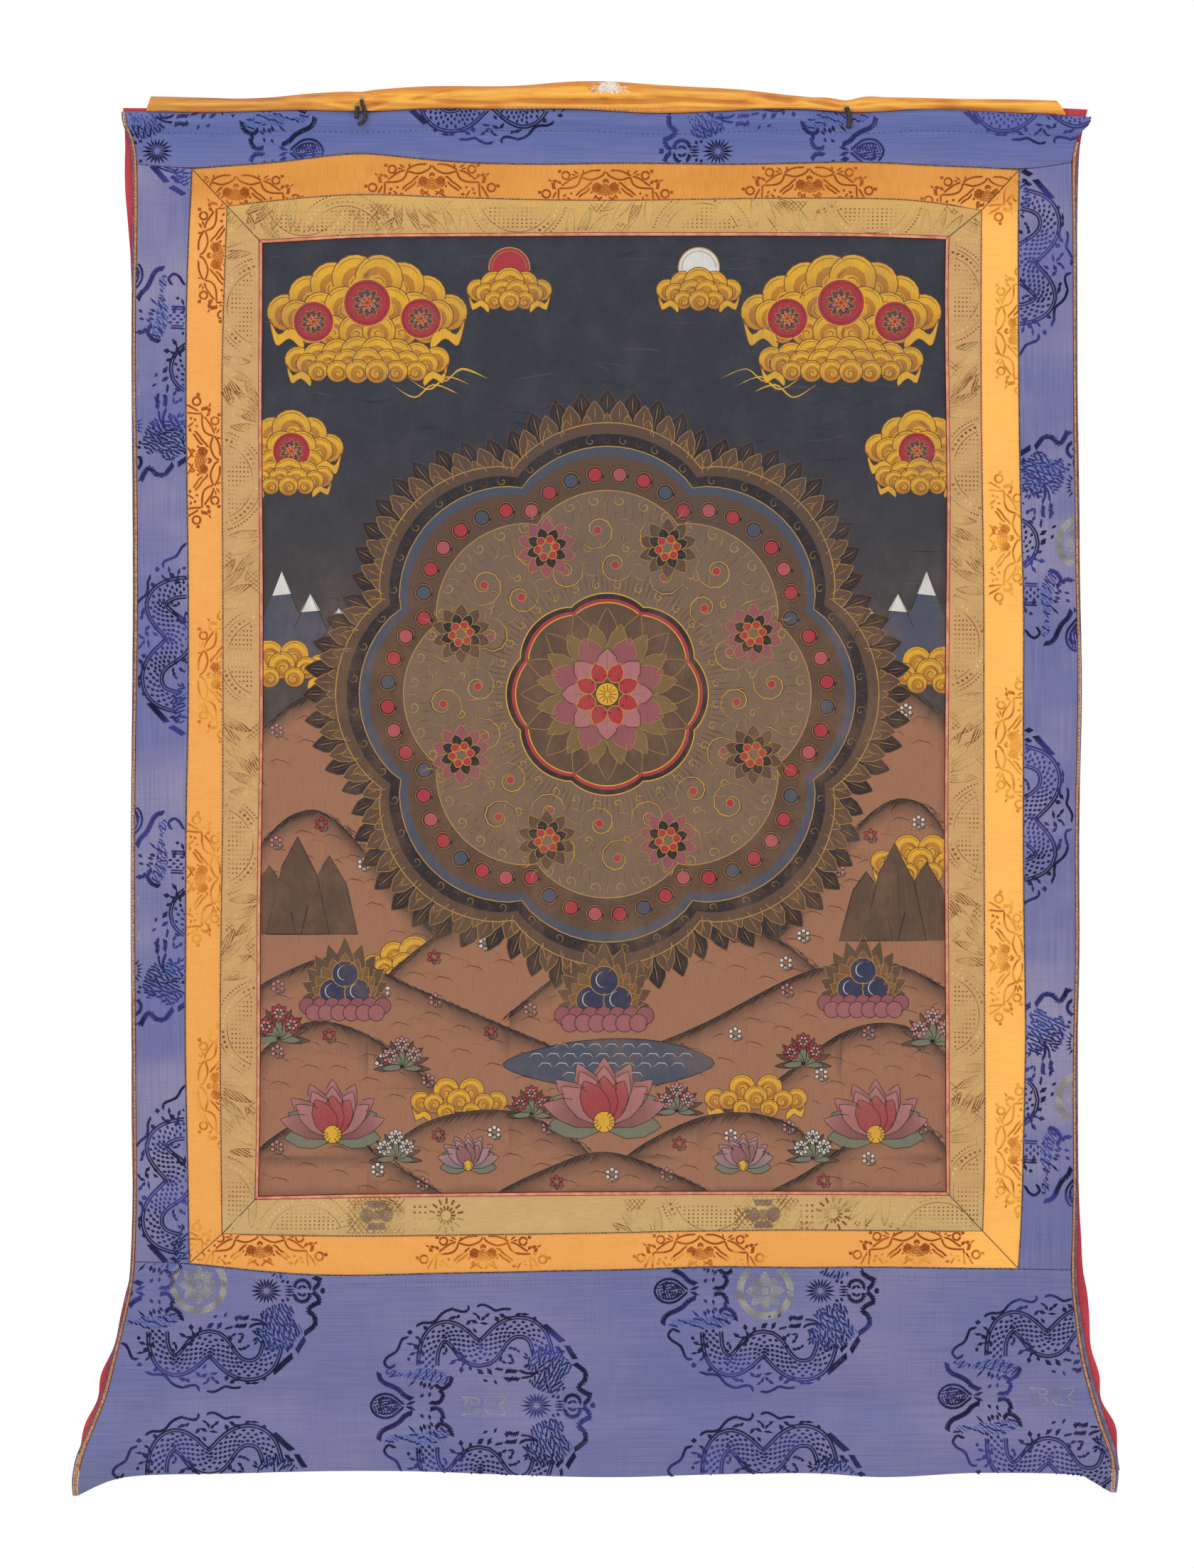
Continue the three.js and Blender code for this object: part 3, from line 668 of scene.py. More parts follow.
def cloud_row(x, z, reach, lobe, arch, count):
    """A bank of cloud: a row of lobes along an arch over rows of smaller ones, and a tail."""
    lobes = []
    for row, (size, rise) in enumerate(((1.0, 1.0), (0.84, 0.45), (0.7, -0.1))):
        for i in range(count - row):
            share = (i + 0.5 * row) / (count - 1) * 2 - 1
            place = (x + reach * share, z + arch * rise * (1 - share**2) - 0.35 * lobe * row)
            lobes.append((*place, lobe * size * (1.12 - 0.3 * abs(share))))
        lobes[-(count - row) :] = sorted(lobes[-(count - row) :], key=lambda place: -abs(place[0] - x))
    cloud(lobes)
    for side in (-1, 1):
        foot = z - 1.2 * lobe
        wisp = [(0.4, 0.1), (1.0, 0.5), (1.5, 0.2), (1.9, 0.9), (1.6, -0.3), (1.0, 0.0), (0.4, -0.5)]
        outline = [(x + side * (reach - 1.2 * lobe + a * lobe), foot + b * lobe) for a, b in wisp]
        picture.shape(flow(outline, closed=True, step=2.5), CLOUD, SCROLL_BROWN, 0.6)


def halo(x, z, size, tone=None):
    """A red disc with a gold rim and a small rosette in it, low in the clouds."""
    picture.shape(disc(x, z, size, 26), tone or RED, CLOUD, 0.9)
    picture.stroke(disc(x, z, 0.86 * size, 20), UMBER, 0.5)
    for i in range(18):
        picture.stroke(turned([(0, 0.58 * size), (0, 0.8 * size)], x, z, 20 * i), SCROLL_BROWN, 0.5, True)
    rings = [
        (10, 0.8, 0.3, UMBER, GOLD),
        (8, 0.56, 0.26, blended(MAUVE, ROSE, 0.4), INK),
        (6, 0.34, 0.2, RED, CLOUD),
    ]
    rosette(x, z, 0.8 * size, rings)


def hill(ridge, colour=HILL):
    """A hill below a ridge line, dark along the ridge, with short grassy brush strokes on it."""
    line = flow(ridge, step=5)
    xs, zs = [p[0] for p in line], [p[1] for p in line]

    def shade(x, z):
        deep = float(np.interp(x, xs, zs)) - z
        return blended(RIDGE, colour, min(max(deep / 15, 0), 1) ** 0.7)

    floor = min(zs) - 60
    picture.shape([(xs[0], floor), (xs[-1], floor), *reversed(line)], shade)
    picture.stroke(line, INK, 0.9)
    peak = xs[zs.index(max(zs))]
    for i, (x, z) in enumerate(line):
        away = 1 if x > peak else -1
        for k in range(3):
            start = (x + 1.7 * k, z - 0.6)
            reach = 4.5 + 4.6 * ((7 * i + 3 * k) % 5) / 5
            bend = (start[0] + away * 0.5 * reach, start[1] - 0.25 * reach)
            end = (start[0] + away * 1.1 * reach, start[1] - 0.9 * reach)
            picture.stroke([start, bend, end], INK, 0.55, True)
        for k, drop in enumerate((13, 20, 28)):
            if (i + 2 * k) % 4 == 0:
                turf = turned([(-5, -1), (0, 1.4), (6, 0), (9, -2.4)], x, z - drop)
                picture.stroke(flow(turf, step=5), (RIDGE, OCHRE, RIDGE)[k], 0.6, True)
    for i, (x, z) in list(enumerate(line))[3:-3:7]:
        for k in range(7):
            blade = turned([(0, 0), (0.8, 3.4), (-0.6, 6.6)], x + 5, z - 9 - 5 * (i % 3), -60 + 20 * k)
            picture.stroke(blade, SAGE if k % 2 else INK, 0.9, True)
        rosette(x + 5, z - 4 - 5 * (i % 3), 4.6, [(6, 1.0, 0.6, (ROSE, RED, CHALK)[i % 3], INK)])


def plant(x, z, tall, colour):
    """A bush of pointed leaves with three open flowers, on a hill."""
    for layer, reach in enumerate((1.0, 0.72)):
        for i in range(9 - 2 * layer):
            tilt = (i / (8 - 2 * layer) - 0.5) * 190
            leaf = turned(petal(reach * tall, 0.24 * tall), x, z, tilt)
            picture.shape(leaf, (UMBER, SAGE)[layer], INK, 0.5)
            picture.stroke(turned([(0, 0.2 * tall), (0, 0.85 * reach * tall)], x, z, tilt), GOLD, 0.4, True)
    for dx, dz in ((-0.42, 0.4), (0.42, 0.44), (0, 0.8)):
        rings = [(8, 1.0, 0.5, colour, INK), (6, 0.6, 0.4, blended(colour, CHALK, 0.5), INK)]
        rosette(x + dx * tall, z + dz * tall, 0.3 * tall, rings)


def lotus(x, z, size, outer=MAUVE, inner=RED, line=GOLD):
    """An open lotus seen from the side: rows of petals over a leafy base."""
    for tilt in (-96, 96, -66, 66):
        picture.shape(turned(petal(0.9 * size, 0.5 * size), x, z, tilt), SAGE, INK, 0.5)
    for row, (count, spread, reach) in enumerate(((7, 150, 1.0), (5, 104, 0.86), (3, 54, 0.7))):
        for i in range(count):
            tilt = (i / (count - 1) - 0.5) * spread
            leaf = turned(petal(reach * size, 0.44 * size), x, z, tilt)
            tone = (outer, blended(outer, ROSE, 0.45), blended(inner, outer, 0.3))[row]
            out = lambda *place: min(math.dist((x, z), place) / size, 1)
            shade = lambda px, pz, tone=tone: blended(tone, ROSE, out(px, pz) ** 3 * 0.7)
            picture.shape(leaf, shade, INK, 0.5)
            for side in (-0.1, 0, 0.1):
                vein = [(side * size * 0.6, 0.3 * size * reach), (side * size, 0.78 * size * reach)]
                picture.stroke(turned(vein, x, z, tilt), line, 0.45, True)
    picture.shape(disc(x, z - 0.02 * size, 0.17 * size, 14), CLOUD, INK, 0.5)


def rosette(x, z, size, rings, turn=0.0):
    """A round flower from above; rings are petal count, reach, width, colour and line colour."""
    for count, reach, wide, colour, line in rings:
        far = reach * size
        for i in range(count):
            way = turn + 360 * i / count
            leaf = petal(far * 0.62, wide * size, far * 0.38)
            picture.shape(turned(leaf, x, z, way), colour, line, 0.5)
            vein = [(0, far * 0.55), (0, far * 0.86)]
            picture.stroke(turned(vein, x, z, way), line, 0.45, True)
        turn += 180 / count


def jewels(x, z, size):
    """Three round gems in a tuft of gold flames on a lotus foot."""
    for layer, (reach, colour) in enumerate(((1.9, UMBER), (1.45, screen(120, 86, 56)))):
        for i in range(11):
            tilt = -80 + 160 * i / 10
            flame = petal(reach * size * (1 - 0.35 * abs(tilt) / 80), 0.62 * size)
            picture.shape(turned(flame, x, z, tilt), colour, GOLD, 0.5)
            tongue = [(1, 4), (-1.6, 0.5 * size), (0.8, 0.95 * size)]
            picture.stroke(turned(tongue, x, z, tilt), GOLD, 0.45, True)
    for dx, dz in ((-0.36, 0.34), (0.36, 0.34), (0, 0.86)):
        middle = (x + dx * size, z + dz * size)
        picture.shape(disc(*middle, 0.38 * size), screen(48, 54, 82), GOLD, 0.6)
        picture.stroke(spiral(*middle, 0.25 * size, 1.6, 0.5, core=0.7), CHALK, 0.7, True)
    for row, count in ((0, 7), (1, 6)):
        for i in range(count):
            across = (i - (count - 1) / 2) * 0.36 * size
            lobe = disc(x + across, z - (0.06 + 0.2 * row) * size, 0.24 * size, 14)
            picture.shape(lobe, blended(MAUVE, ROSE, 0.2 * row), INK, 0.5)


def foil(x, z, size, lobes=8, deep=0.1, count=128):
    """The outline of a panel with round lobes and small points between them."""
    line = []
    for i in range(count):
        angle = TAU * i / count
        reach = size * (1 - deep + deep * abs(math.cos(lobes / 2 * angle)) ** 0.8)
        line.append((x + reach * math.cos(angle), z + reach * math.sin(angle)))
    return line


# Night sky, sun and moon, and the cloud banks
LEFT, RIGHT, TOP, FOOT = -222, 222, -76, -692
sky = lambda x, z: blended(NIGHT, DUSK, min(max((-200 - z) / 140, 0), 1))
picture.shape([(LEFT, FOOT), (RIGHT, FOOT), (RIGHT, TOP), (LEFT, TOP)], sky)
sky_dice = random.Random(8)
for i in range(90):
    x, z, reach = sky_dice.uniform(-215, 190), sky_dice.uniform(-330, -88), sky_dice.uniform(8, 34)
    sweep = [(x, z), (x + 0.5 * reach, z + sky_dice.uniform(-3, 3)), (x + reach, z + sky_dice.uniform(-6, 6))]
    tone = (screen(66, 66, 74), screen(40, 42, 50))[i % 2]
    picture.stroke(flow(sweep), tone, sky_dice.uniform(0.8, 2.2), True)
for side in (-1, 1):
    for i, (x, z, tall) in enumerate(((204, -318, 26), (186, -326, 20), (168, -330, 15))):
        peak = [(side * (x - 20), z - 24), (side * x, z + tall), (side * (x + 20), z - 24)]
        picture.shape(peak, SLATE, INK, 0.5)
        cap = [(side * (x - 6), z + 0.45 * tall), (side * x, z + tall), (side * (x + 6), z + 0.4 * tall)]
        picture.shape(cap, CHALK)
for side, tone in ((-1, RED), (1, CHALK)):
    picture.shape(disc(side * 60, -100, 13, 28), tone, GOLD, 0.9)
    picture.stroke(disc(side * 60, -100, 10.8, 28), GOLD, 0.5)
    cloud_row(side * 60, -114, 20, 8.5, 5, 5)
    cloud_row(side * 150, -128, 52, 14, 22, 8)
    for x, z, size in ((116, -132, 13), (150, -122, 15), (184, -134, 13)):
        halo(side * x, z, size)
    cloud_row(side * 150, -158, 44, 10, 4, 8)
    cloud_row(side * 198, -214, 24, 11, 12, 5)
    halo(side * 198, -216, 12)
    cloud_row(side * 200, -232, 22, 8, 3, 5)
    for k in range(3):
        wisp = [(side * (74 + 9 * k), -170 - 5 * k), (side * (90 + 9 * k), -164 - 5 * k)]
        wisp += [(side * (102 + 9 * k), -172 - 5 * k), (side * (116 + 9 * k), -164 - 5 * k)]
        picture.stroke(flow(wisp), CLOUD, 1.6, True)

# Hills, from the far ones to the near ones, with clouds and waters between them
for x, z, reach, lobe, arch, count in (
    (-204, -352, 24, 9, 8, 4),
    (206, -356, 24, 9, 8, 4),
    (-206, -412, 20, 9, 12, 4),
):
    cloud_row(x, z, reach, lobe, arch, count)
hill([(-222, -398), (-190, -372), (-160, -380), (-120, -420)])
hill([(222, -392), (186, -366), (150, -384), (120, -420)][::-1])
hill([(-222, -470), (-196, -446), (-168, -452), (-110, -520), (-60, -560)])
hill([(60, -566), (112, -520), (166, -448), (198, -438), (222, -466)])
cloud_row(200, -476, 24, 9, 9, 4)
cloud_row(-120, -542, 26, 9, 9, 5)
hill([(-150, -560), (-104, -522), (-50, -510), (10, -516), (58, -540), (90, -572)])
hill([(-60, -572), (-8, -534), (56, -512), (110, -526), (150, -560)])
hill([(-222, -556), (-170, -536), (-120, -556), (-40, -590), (0, -604)])
hill([(0, -604), (60, -580), (128, -546), (180, -540), (222, -560)])

# The foiled panel of gold scrolls, with a border of round gems and a rim of small leaves
HEART = (2, -370)


def foiled(angle):
    """How far out the lobes of the panel reach at an angle, as a share."""
    return 0.9 + 0.1 * abs(math.cos(4 * angle)) ** 0.8


def around(out, angle):
    """A place at this distance and angle from the panel's middle."""
    return HEART[0] + out * math.cos(angle), HEART[1] + out * math.sin(angle)


LEAF = 24
LEAVES = [
    # reach, count, width, turn in leaves, colour, line colour
    (191, 72, 13, 0, INK, SCROLL_BROWN),
    (184, 72, 13, 0.5, UMBER, GOLD),
    (176, 84, 10, 0, screen(104, 78, 56), GOLD),
]
for size, count, wide, shift, colour, line in LEAVES:
    for i in range(count):
        angle = 360 * (i + shift) / count
        root = size * foiled(math.radians(angle)) - LEAF + 2
        leaf = petal(LEAF, wide, root)
        picture.shape(turned(leaf, *HEART, angle - 90), colour, line, 0.55)
        for lean in (-2.4, 0, 2.4):
            vein = [(0.5 * lean, root + 5), (lean, root + 16), (0.4 * lean, root + 21)]
            tone = SCROLL_BROWN if lean else GOLD
            picture.stroke(turned(vein, *HEART, angle - 90), tone, 0.55, True)
bands = [
    # size, colour, edge line
    (172, UMBER, GOLD),
    (165, INK, None),
    (157, SLATE, GOLD),
    (151, UMBER, None),
    (129, PANEL, GOLD),
]
for size, colour, line in bands:
    picture.shape(foil(*HEART, size), colour, line, 0.8)
GEMS = 56
for i in range(GEMS):
    angle = TAU * (i + 0.5) / GEMS
    x, z = around(139.5 * foiled(angle), angle)
    picture.shape(disc(x, z, 6.4, 14), INK, SCROLL_BROWN, 0.6)
    picture.shape(disc(x, z, 4.2, 12), (RED, blended(RED, ROSE, 0.25), RED, SLATE)[i % 4])
    picture.stroke(disc(x, z, 5.4, 14), GOLD, 0.5)
for i in range(96):
    angle = TAU * i / 96
    wave = spiral(*around(161 * foiled(angle), angle), 3.6, angle, 1.1)
    picture.stroke(wave, (SCROLL_BROWN, GOLD)[i % 2], 0.5, True)
for i in range(132):
    angle = 360 * i / 132
    for near, far, colour in ((64, 73 + 4 * (i % 3), UMBER), (112, 121 - 3 * (i % 2), SCROLL_BROWN)):
        ray = [(0, near), (0, 0.5 * (near + far)), (0, far)]
        picture.stroke(turned(ray, *HEART, angle), colour, 0.8, True)
for i in range(16):
    angle = TAU * i / 16
    for way, radius, out in ((1, 15, 104), (-1, 13, 82)):
        x, z = around(out, angle + way * 0.06)
        for width, colour in ((3.2, UMBER), (1.5, GOLD), (0.6, CLOUD)):
            picture.stroke(spiral(x, z, radius, angle + way, 1.6, way), colour, width, True)
        for k in range(7):
            tip = turned([(0, 1.0 * radius), (1.8, 1.3 * radius), (0.4, 1.65 * radius)], x, z, 51.4 * k + 22.5 * i)
            picture.stroke(tip, UMBER, 2.2, True)
            picture.stroke(tip, GOLD, 0.9, True)
        picture.shape(disc(x, z, 2.6, 10), (RED, MAUVE)[i % 2], GOLD, 0.6)
for count, out, size in ((48, 123, 4.6), (32, 69.5, 3.6), (24, 93, 3.4)):
    for i in range(count):
        angle = TAU * (i + 0.5) / count
        lobe = out * (0.93 + 0.07 * abs(math.cos(4 * angle)) ** 0.8) if count == 48 else out
        curl = spiral(*around(lobe, angle), size, angle, 1.3)
        picture.stroke(curl, GOLD, 0.8, True)
for i in range(8):
    tone = (MAUVE, UMBER)[i % 2]
    rings = [(10, 1.0, 0.42, tone, GOLD), (8, 0.7, 0.36, INK, GOLD), (6, 0.45, 0.28, RED, CLOUD)]
    rosette(*around(100, TAU * (i + 0.5) / 8), 19, rings)
for size, colour, line in ((64, INK, CLOUD), (60.5, RED, None), (58, UMBER, CLOUD)):
    picture.shape(foil(*HEART, size, lobes=8, deep=0.07), colour, line, 0.9)
heart_rings = [
    (16, 0.94, 0.24, UMBER, GOLD),
    (16, 0.78, 0.22, screen(122, 98, 62), GOLD),
    (8, 0.66, 0.3, MAUVE, GOLD),
    (8, 0.5, 0.24, blended(MAUVE, ROSE, 0.5), INK),
    (8, 0.36, 0.18, RED, CLOUD),
]
rosette(*HEART, 58, heart_rings)
picture.shape(disc(*HEART, 7.4, 20), CLOUD, INK, 0.7)
for i in range(12):
    picture.stroke(turned([(0, 1.5), (0, 6)], *HEART, 30 * i), SCROLL_BROWN, 0.5)

# Near hills, waters, rocks, gems and lotuses
water = [(-64, -604), (-30, -592), (10, -588), (46, -592), (70, -604), (40, -616), (0, -620), (-38, -615)]
picture.shape(flow(water, closed=True, step=6), SLATE, INK, 0.7)
for row in range(4):
    for i in range(12):
        x, z = -58 + 10.5 * i + 5 * (row % 2), -594 - 6 * row
        if abs(x - 3) < 60 - 20 * abs(row - 1.4):
            crest = turned([(-5, 0), (-2, 2.6), (2, 2.4), (4.4, -0.4)], x, z)
            picture.stroke(crest, CHALK, 0.6, True)
jewels(0, -572, 24)
for x, z in ((-190, -508), (188, -512)):
    for i, (dx, tall, wide) in enumerate(((-22, 30, 17), (16, 36, 18), (-4, 48, 20))):
        crag = [(x + dx - wide, z - 14), (x + dx - 0.5 * wide, z + 0.6 * tall), (x + dx, z + tall)]
        crag += [(x + dx + 0.6 * wide, z + 0.5 * tall), (x + dx + wide, z - 14)]
        picture.shape(crag, screen(92, 70, 56), INK, 0.7)
        for k in range(4):
            fold = [(x + dx + (k - 1.5) * 4, z + tall - 8 - 4 * k), (x + dx + (k - 1.5) * 7, z - 10)]
            picture.stroke(fold, (INK, GOLD)[k % 2], 0.5, True)
hill([(-222, -600), (-188, -578), (-150, -586), (-100, -622), (-60, -640)])
hill([(60, -640), (104, -618), (152, -584), (190, -580), (222, -602)])
jewels(-164, -566, 22)
jewels(164, -564, 22)
cloud_row(-92, -628, 24, 8, 8, 4)
cloud_row(96, -626, 26, 8, 8, 4)
hill([(-150, -668), (-110, -640), (-60, -634), (-20, -652), (0, -672)])
hill([(0, -674), (30, -652), (70, -636), (112, -640), (150, -668)])
hill([(-222, -660), (-190, -640), (-160, -650), (-120, -676), (-90, -692)])
hill([(90, -692), (126, -674), (166, -648), (196, -640), (222, -662)])
hill([(-80, -692), (-40, -672), (0, -660), (44, -674), (80, -692)])
for x, z, tall, colour in (
    (-206, -588, 20, RED),
    (-128, -606, 18, ROSE),
    (-46, -636, 17, RED),
    (46, -634, 17, ROSE),
    (126, -604, 18, RED),
    (208, -590, 20, ROSE),
    (-132, -664, 17, CHALK),
    (132, -664, 17, CHALK),
):
    plant(x, z, tall, colour)
for x, z, size in ((-172, -648, 34), (0, -640, 40), (172, -648, 34)):
    lotus(x, z, size, blended(MAUVE, UMBER, 0.4))
for x, z, size in ((-86, -668, 20), (88, -668, 20)):
    lotus(x, z, size, screen(128, 118, 124), MAUVE)

canvas_base = smooth_cloth("canvas", "canvas_base", 2)
crumple(canvas_base)


def front_rim(piece):
    """The outline of a sheet's front, in millimetres, running anticlockwise from the front."""
    mesh = piece.data
    ahead = [p.normal.y < -0.6 for p in mesh.polygons]
    follow = {}
    shared = {}
    for polygon, is_front in zip(mesh.polygons, ahead):
        if is_front:
            for a, b in polygon.edge_keys:
                shared[a, b] = shared.get((a, b), 0) + 1
    for polygon, is_front in zip(mesh.polygons, ahead):
        if is_front:
            corners = list(polygon.vertices)
            for a, b in zip(corners, [*corners[1:], corners[0]]):
                if shared[min(a, b), max(a, b)] == 1:
                    follow[a] = b
    start = here = next(iter(follow))
    outline = []
    while True:
        outline.append((mesh.vertices[here].co.x / MM, mesh.vertices[here].co.z / MM))
        here = follow.get(here, start)
        if here == start:
            return outline


def cut_area(piece):
    """The area inside a sheet's outline, in square metres, as it was cut and turned in."""
    return MM * MM * abs(signed_area(front_rim(piece)))


def hang(piece, cut):
    """Works out the area of a hung sheet's mitred or flared cut and keeps nothing of it; cut, the size it was cut to,
    is not used.
    """
    cut_area(piece)


canvas_face = Face([canvas_base])
inset = 0.9995
middle = (0.0, -384.0)
rim = [
    (middle[0] + inset * (x - middle[0]), middle[1] + inset * (z - middle[1]))
    for x, z in front_rim(canvas_base)[::2]
]
jitter = random.Random(12)
lattice = [
    (x + jitter.uniform(-1.5, 1.5), z + jitter.uniform(-1.5, 1.5))
    for x in range(-210, 211, 10)
    for z in range(-680, -86, 10)
]
canvas = picture.make_canvas("painted_canvas", rim, canvas_face, lattice)
picture.paint_over()
brush_lines = picture.brush.make("brush_lines", canvas_face, sink=0.05)

paint = Finish("distemper_on_canvas", Roughness=0.82)
paint.shader.inputs["Specular IOR Level"].default_value = 0.25
weave_up = paint.place.noise(0.8, 60, 14, detail=2)
weave_over = paint.place.noise(14, 60, 0.8, detail=2)
rubbed = paint.place.noise(26, 60, 34, detail=6, rough=0.65).span(0.42, 0.7)
mottled = paint.place.noise(5, 60, 5, detail=5, rough=0.7).span(0.3, 0.75)
flecks = paint.place.noise(1.6, 60, 1.6, detail=3, rough=0.7).span(0.735, 0.78)
cracks = paint.place.noise(90, 60, 1.7, detail=3, rough=0.6).span(0.66, 0.74)
tint = paint.attribute("tint")
low = paint.z.span(-0.26, -0.36)
tint = (mottled * 0.12).mix(tint, low.mix(screen(88, 86, 90), screen(128, 102, 82)))
tint = (rubbed * 0.26).mix(tint, low.mix(screen(84, 82, 88), screen(156, 120, 94)))
tint = (weave_up.span(0.35, 0.75) * 0.12).mix(tint, screen(40, 32, 30))
tint = (cracks * 0.22).mix(tint, screen(158, 130, 108))
tint = (flecks * 0.5).mix(tint, screen(210, 198, 182))
paint.feed(Base_Color=tint)
paint.bump(weave_up * 0.5 + weave_over * 0.5, 0.25, 0.6)
paint.on(canvas, brush_lines)
bpy.data.objects.remove(canvas_base)
hold(canvas, "painted_canvas", "canvas")
hold(brush_lines, "painted_canvas")
hang(canvas, (0.436, 0.608))

# Edging round the canvas
# Four strips of salmon silk folded double, sewn between the canvas and the first frame.
# Their fold stands a little proud and shows as a thin bright line with tiny hem stitches.
SIDES = ("top", "right", "bottom", "left")
PLAIN = 2  # smoothing levels of a cloth
FINE = 3  # and of the veil, which carries fine crumples


def dress(node, levels, slot, finish):
    """The finished cloth of one CAD piece, creased with the rest of the front."""
    piece = smooth_cloth(node, node + "_cloth", levels)
    crumple(piece)
    finish.on(piece)
    return hold(piece, slot, node)


def seams(piece):
    """The four sides of a sheet's front as lines in millimetres: top, bottom, left, right."""
    outline = front_rim(piece)
    count = len(outline)
    reach = 3
    turns = []
    for i, (x, z) in enumerate(outline):
        (ax, az), (bx, bz) = outline[i - reach], outline[(i + reach) % count]
        turn = math.atan2(bz - z, bx - x) - math.atan2(z - az, x - ax)
        turns.append((abs((turn + math.pi) % TAU - math.pi), i))
    corners = []
    for _, i in sorted(turns, reverse=True):
        if all(min((i - j) % count, (j - i) % count) > 2 * reach for j in corners):
            corners.append(i)
        if len(corners) == 4:
            break
    corners.sort()
    lines = []
    for i, j in zip(corners, [*corners[1:], corners[0] + count]):
        lines.append([outline[k % count] for k in range(i, j + 1)])
    height = lambda line: sum(z for _, z in line) / len(line)
    across = lambda line: sum(x for x, _ in line) / len(line)
    lines.sort(key=height)
    bottom, *between, top = lines
    left, right = sorted(between, key=across)
    return {"top": top, "bottom": bottom, "left": left, "right": right}


def stitch_tree():
    """Geometry Nodes: small stitches at an even pitch along lines, each leaning a little."""
    tree = bpy.data.node_groups.new("stitches", "GeometryNodeTree")
    face = tree.interface
    face.new_socket("Lines", in_out="INPUT", socket_type="NodeSocketGeometry")
    sizes = {"Pitch": 0.002, "Long": 0.001, "Wide": 0.0003, "Lean": 0.0, "Uneven": 0.1}
    for name, value in sizes.items():
        face.new_socket(name, in_out="INPUT", socket_type="NodeSocketFloat").default_value = value
    face.new_socket("Thread", in_out="INPUT", socket_type="NodeSocketMaterial")
    face.new_socket("Stitches", in_out="OUTPUT", socket_type="NodeSocketGeometry")
    start = tree.nodes.new("NodeGroupInput")
    end = tree.nodes.new("NodeGroupOutput")

    def step(kind, links, **settings):
        node = tree.nodes.new(kind)
        for name, value in settings.items():
            setattr(node, name, value)
        for name, value in links.items():
            if isinstance(value, bpy.types.NodeSocket):
                tree.links.new(value, node.inputs[name])
            else:
                node.inputs[name].default_value = value
        return node

    curve = step("GeometryNodeMeshToCurve", {"Mesh": start.outputs["Lines"]})
    even = step(
        "GeometryNodeResampleCurve",
        {"Curve": curve.outputs[0], "Length": start.outputs["Pitch"]},
        mode="LENGTH",
    )
    along = step("GeometryNodeInputTangent", {})
    facing = step(
        "FunctionNodeAlignRotationToVector",
        {"Vector": along.outputs[0]},
        axis="X",
        pivot_axis="Y",
    )
    loose = step("ShaderNodeMath", {0: start.outputs["Uneven"], 1: -1.0}, operation="MULTIPLY")
    drift = step("FunctionNodeRandomValue", {2: loose.outputs[0], 3: start.outputs["Uneven"], "Seed": 7})
    lean = step("ShaderNodeMath", {0: start.outputs["Lean"], 1: drift.outputs[1]}, operation="ADD")
    euler = step("ShaderNodeCombineXYZ", {"Y": lean.outputs[0]})
    turn = step("FunctionNodeEulerToRotation", {0: euler.outputs[0]})
    rotation = step(
        "FunctionNodeRotateRotation",
        {0: facing.outputs[0], 1: turn.outputs[0]},
        rotation_space="LOCAL",
    )
    bead = step("GeometryNodeMeshIcoSphere", {"Radius": 0.5, "Subdivisions": 1})
    vary = step("FunctionNodeRandomValue", {2: 0.8, 3: 1.15, "Seed": 11})
    long = step("ShaderNodeMath", {0: start.outputs["Long"], 1: vary.outputs[1]}, operation="MULTIPLY")
    size = step(
        "ShaderNodeCombineXYZ",
        {"X": long.outputs[0], "Y": start.outputs["Wide"], "Z": start.outputs["Wide"]},
    )
    laid = step(
        "GeometryNodeInstanceOnPoints",
        {
            "Points": even.outputs[0],
            "Instance": bead.outputs[0],
            "Rotation": rotation.outputs[0],
            "Scale": size.outputs[0],
        },
    )
    real = step("GeometryNodeRealizeInstances", {"Geometry": laid.outputs[0]})
    dye_and_sheen = step(
        "GeometryNodeSetMaterial",
        {"Geometry": real.outputs[0], "Material": start.outputs["Thread"]},
    )
    tree.links.new(dye_and_sheen.outputs[0], end.inputs["Stitches"])
    return tree


STITCHES = stitch_tree()


def sewn(name, lines, face, finish, pitch, long, wide, lean=0.0, uneven_lean=10.0, lift=0.1):
    """Stitches along lines on a cloth: pitch and sizes in millimetres, lean in degrees."""
    points, edges = [], []
    for line in lines:
        last = None
        for x, z in line:
            spot = face.at(x, z, lift)
            if spot is None:
                last = None
                continue
            points.append(spot)
            if last is not None:
                edges.append((last, len(points) - 1))
            last = len(points) - 1
    mesh = bpy.data.meshes.new(name)
    mesh.from_pydata(points, edges, [])
    piece = new_piece(name, mesh)
    maker = piece.modifiers.new("Stitches", "NODES")
    maker.node_group = STITCHES
    values = {
        "Pitch": pitch * MM,
        "Long": long * MM,
        "Wide": wide * MM,
        "Lean": math.radians(lean),
        "Uneven": math.radians(uneven_lean),
        "Thread": finish.material,
    }
    for socket in STITCHES.interface.items_tree:
        if socket.name in values:
            maker[socket.identifier] = values[socket.name]
    return settle(piece)


def thread(name, *colour, rough=0.6):
    """Sewing thread: one dye, a little lighter and darker along it."""
    finish = Finish(name, Roughness=rough)
    worn = finish.place.noise(1.5, 1.5, 1.5).span(0.3, 0.7)
    dye = screen(*colour)
    finish.feed(Base_Color=worn.mix(blended(dye, (0, 0, 0), 0.35), blended(dye, (1, 1, 1), 0.12)))
    return finish


